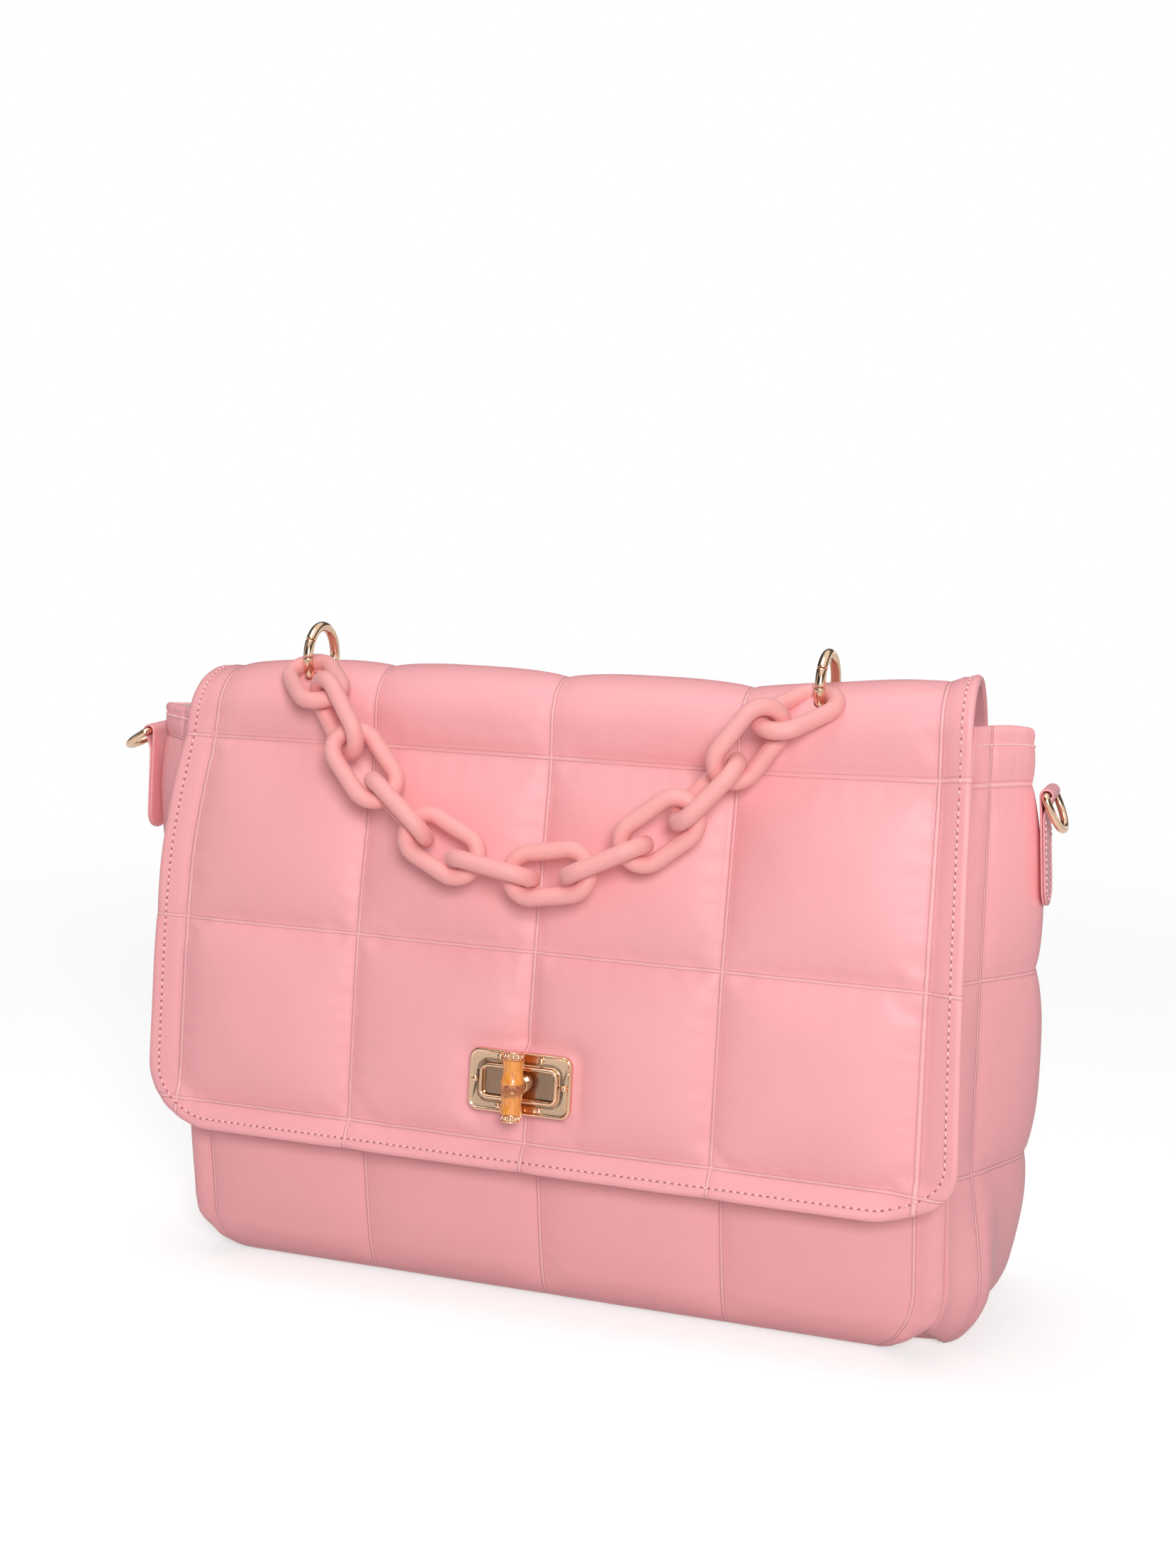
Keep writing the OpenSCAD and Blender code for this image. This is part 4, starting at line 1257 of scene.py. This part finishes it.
class BAG_OT_knob(bpy.types.Operator):
    """Bamboo grip of the turn knob with its metal ends"""
    bl_idname = "bag.knob"
    bl_label = "Make the knob"

    def execute(self, context):
        axis = at_lock() @ move(0, -8.2, 0)
        half, waist = 9.3, 3.4
        profile = [(0, -half)]
        for i in range(61):
            z = mix(-half, half, i / 60)
            swell = 0.75 * exp(-(z / 3.6) ** 2) + 0.4 * ease(5.5, half, abs(z))
            lips = 0.2 * exp(-((z - 1.5) / 0.45) ** 2) + 0.26 * exp(-((z + 1.9) / 0.33) ** 2)
            profile.append((waist + swell + lips, z))
        profile.append((0, half))
        bm = turned(profile, 40, axis)
        for degrees_round in (-1, 41):
            at_bud = axis @ spin(degrees_round, "Z") @ move(0, -waist - 0.72, -0.1)
            for r, out, dark in ((1.3, 0.4, 1), (0.5, 0.52, 0)):
                balled(bm, 3, at_bud @ scaled(r, out, r * 0.92), dark)
        grip = piece("bamboo_knob", bm, cane(), "knob", ["bamboo_grip"], 60)
        grip.data.materials.append(bud())
        bm = bmesh.new()
        cap = ((0, 0.05), (3.45, 0.05), (3.6, 0.2), (3.6, 0.4), (3.4, 0.55), (2.9, 0.65), (2.85, 2.2), (3.25, 2.35),
               (3.4, 2.5), (3.4, 2.7), (3.2, 2.88), (2.8, 2.95), (0, 2.95))
        for way in (0, 180):
            made = turned(cap, 36, move(0, 0, half))
            for i in range(10):
                bead = move(2.95 * cos(i * pi / 5), 2.95 * sin(i * pi / 5), half + 1.42)
                ops.create_icosphere(made, subdivisions=3, radius=0.84, matrix=bead)
            ops.transform(made, matrix=axis @ spin(way, "X"), verts=made.verts)
            mesh = bpy.data.meshes.new("cap")
            made.to_mesh(mesh)
            made.free()
            bm.from_mesh(mesh)
            bpy.data.meshes.remove(mesh)
        piece("knob_ends", bm, metal(), "knob", ["knob_caps"], 50)
        return {"FINISHED"}


def shone(tree, kind, strength, colour=(1, 1, 1, 1)):
    """A shader that gives light of its own."""
    return add(tree, kind, {"Color": colour, "Strength": strength}).outputs[0]


def either(tree, share, one, other):
    """One shader where the share is 0, the other where it is 1."""
    return add(tree, "ShaderNodeMixShader", {0: share, 1: one, 2: other}).outputs[0]


class BAG_OT_stage(bpy.types.Operator):
    """Floor, soft lamps, pale surroundings and the camera"""
    bl_idname = "bag.stage"
    bl_label = "Set the stage"

    def execute(self, context):
        scene = context.scene
        scene.view_settings.view_transform = "Standard"
        bm = bmesh.new()
        ops.create_circle(bm, cap_ends=True, segments=96, radius=9 / MM)
        floor = bare("floor", bm)
        floor.location.z = -0.0002
        pale = bpy.data.materials.new("pale_floor")
        floor.data.materials.append(pale)
        pale.use_nodes = True
        tree = pale.node_tree
        surface = tree.nodes["Principled BSDF"]
        for key, value in (("Base Color", (0.6, 0.6, 0.6, 1)), ("Roughness", 0.9), ("Specular IOR Level", 0.1)):
            surface.inputs[key].default_value = value
        place = tree.nodes.new("ShaderNodeTexCoord").outputs["Object"]
        away = add(tree, "ShaderNodeVectorMath", {0: place}, operation="LENGTH").outputs["Value"]
        rays = tree.nodes.new("ShaderNodeLightPath").outputs
        seen = maths(tree, "MAXIMUM", rays["Is Camera Ray"],
                     maths(tree, "MAXIMUM", rays["Is Glossy Ray"], rays["Is Transmission Ray"]))
        far = ranged(tree, away, 0.35, 0.95, 0.0, 1.0, interpolation_type="SMOOTHSTEP")
        dim = ranged(tree, rays["Is Glossy Ray"], 0.0, 1.0, 1.0, 0.7)
        glow = shone(tree, "ShaderNodeEmission", dim)
        lift = shone(tree, "ShaderNodeEmission", maths(tree, "MULTIPLY", dim, 0.56))
        lit = add(tree, "ShaderNodeAddShader", {0: surface.outputs[0], 1: lift}).outputs[0]
        shown = either(tree, seen, surface.outputs[0], either(tree, far, lit, glow))
        tree.links.new(shown, tree.nodes["Material Output"].inputs["Surface"])

        world = scene.world or bpy.data.worlds.new("surroundings")
        scene.world = world
        world.use_nodes = True
        tree = world.node_tree
        tree.nodes.clear()
        rays = tree.nodes.new("ShaderNodeLightPath").outputs
        seen = maths(tree, "MAXIMUM", rays["Is Camera Ray"], rays["Is Transmission Ray"])
        sides = add(tree, "ShaderNodeSeparateXYZ", {0: tree.nodes.new("ShaderNodeTexCoord").outputs["Generated"]}).outputs
        soft = shone(tree, "ShaderNodeBackground", ranged(tree, sides[0], 0.25, 0.85, 0.345, 0.1), (1.0, 0.985, 0.98, 1))
        walls = ranged(tree, sides[0], -0.55, -0.1, 0.16, 1.0, interpolation_type="SMOOTHSTEP")
        below, above = ranged(tree, sides[2], 0.1, 0.2, 1.0, 0.1), ranged(tree, sides[2], 0.5, 0.62, 0.1, 1.0)
        band = maths(tree, "MAXIMUM", below, above)
        mirrored = shone(tree, "ShaderNodeBackground", maths(tree, "MULTIPLY", walls, band))
        white = shone(tree, "ShaderNodeBackground", 1.0)
        both = either(tree, seen, either(tree, rays["Is Glossy Ray"], soft, mirrored), white)
        tree.links.new(both, tree.nodes.new("ShaderNodeOutputWorld").inputs["Surface"])

        for name, place, size, power in (
                ("key lamp", (0.72, -1.5, 0.8), 0.5, 20.9),
                ("top lamp", (-0.1, -0.2, 1.6), 0.9, 7.3),
                ("left lamp", (-1.6, -0.6, 0.7), 0.9, 1.2)):
            data = bpy.data.lights.new(name, "AREA")
            data.size = size
            data.energy = power
            lamp = bpy.data.objects.new(name, data)
            scene.collection.objects.link(lamp)
            lamp.location = place
            lamp.rotation_euler = (Vector((0, 0, 0.12)) - Vector(place)).to_track_quat("-Z", "Y").to_euler()

        camera = bpy.data.cameras.new("camera")
        camera.sensor_fit = "VERTICAL"
        camera.sensor_height = 36
        camera.lens = 52.614
        viewer = bpy.data.objects.new("camera", camera)
        scene.collection.objects.link(viewer)
        viewer.location = (0.28418, -0.77891, 0.32616)
        aim = Vector((0.01449, -0.045, 0.19244)) - viewer.location
        viewer.rotation_euler = (aim.to_track_quat("-Z", "Y") @ Quaternion((0, 0, 1), radians(0.83))).to_euler()
        scene.camera = viewer
        return {"FINISHED"}


class BAG_PT_panel(bpy.types.Panel):
    """Sizes, colours and steps of the bag"""
    bl_label = "Quilted shoulder bag"
    bl_idname = "BAG_PT_panel"
    bl_space_type = "VIEW_3D"
    bl_region_type = "UI"
    bl_category = "Bag"

    def draw(self, context):
        for settings in (context.scene.bag_sizes, context.scene.bag_colours):
            for key in settings.__annotations__:
                self.layout.prop(settings, key)
        for operator in OPERATORS:
            self.layout.operator(operator.bl_idname)


OPERATORS = (BAG_OT_stage, BAG_OT_flap, BAG_OT_walls, BAG_OT_gussets, BAG_OT_lining, BAG_OT_shoulder_rings,
             BAG_OT_tabs, BAG_OT_chain, BAG_OT_lock, BAG_OT_knob)
CLASSES = (BagSizes, BagColours, *OPERATORS, BAG_PT_panel)


def register():
    for made in CLASSES:
        bpy.utils.register_class(made)
    bpy.types.Scene.bag_sizes = bpy.props.PointerProperty(type=BagSizes)
    bpy.types.Scene.bag_colours = bpy.props.PointerProperty(type=BagColours)


def unregister():
    del bpy.types.Scene.bag_colours
    del bpy.types.Scene.bag_sizes
    for made in reversed(CLASSES):
        bpy.utils.unregister_class(made)


def main():
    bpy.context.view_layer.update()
    register()
    bpy.ops.bag.stage()
    bpy.ops.bag.flap()
    bpy.ops.bag.walls()
    bpy.ops.bag.gussets()
    bpy.ops.bag.lining()
    bpy.ops.bag.shoulder_rings()
    bpy.ops.bag.tabs()
    bpy.ops.bag.chain()
    bpy.ops.bag.lock()
    bpy.ops.bag.knob()


if __name__ == "__main__":
    main()
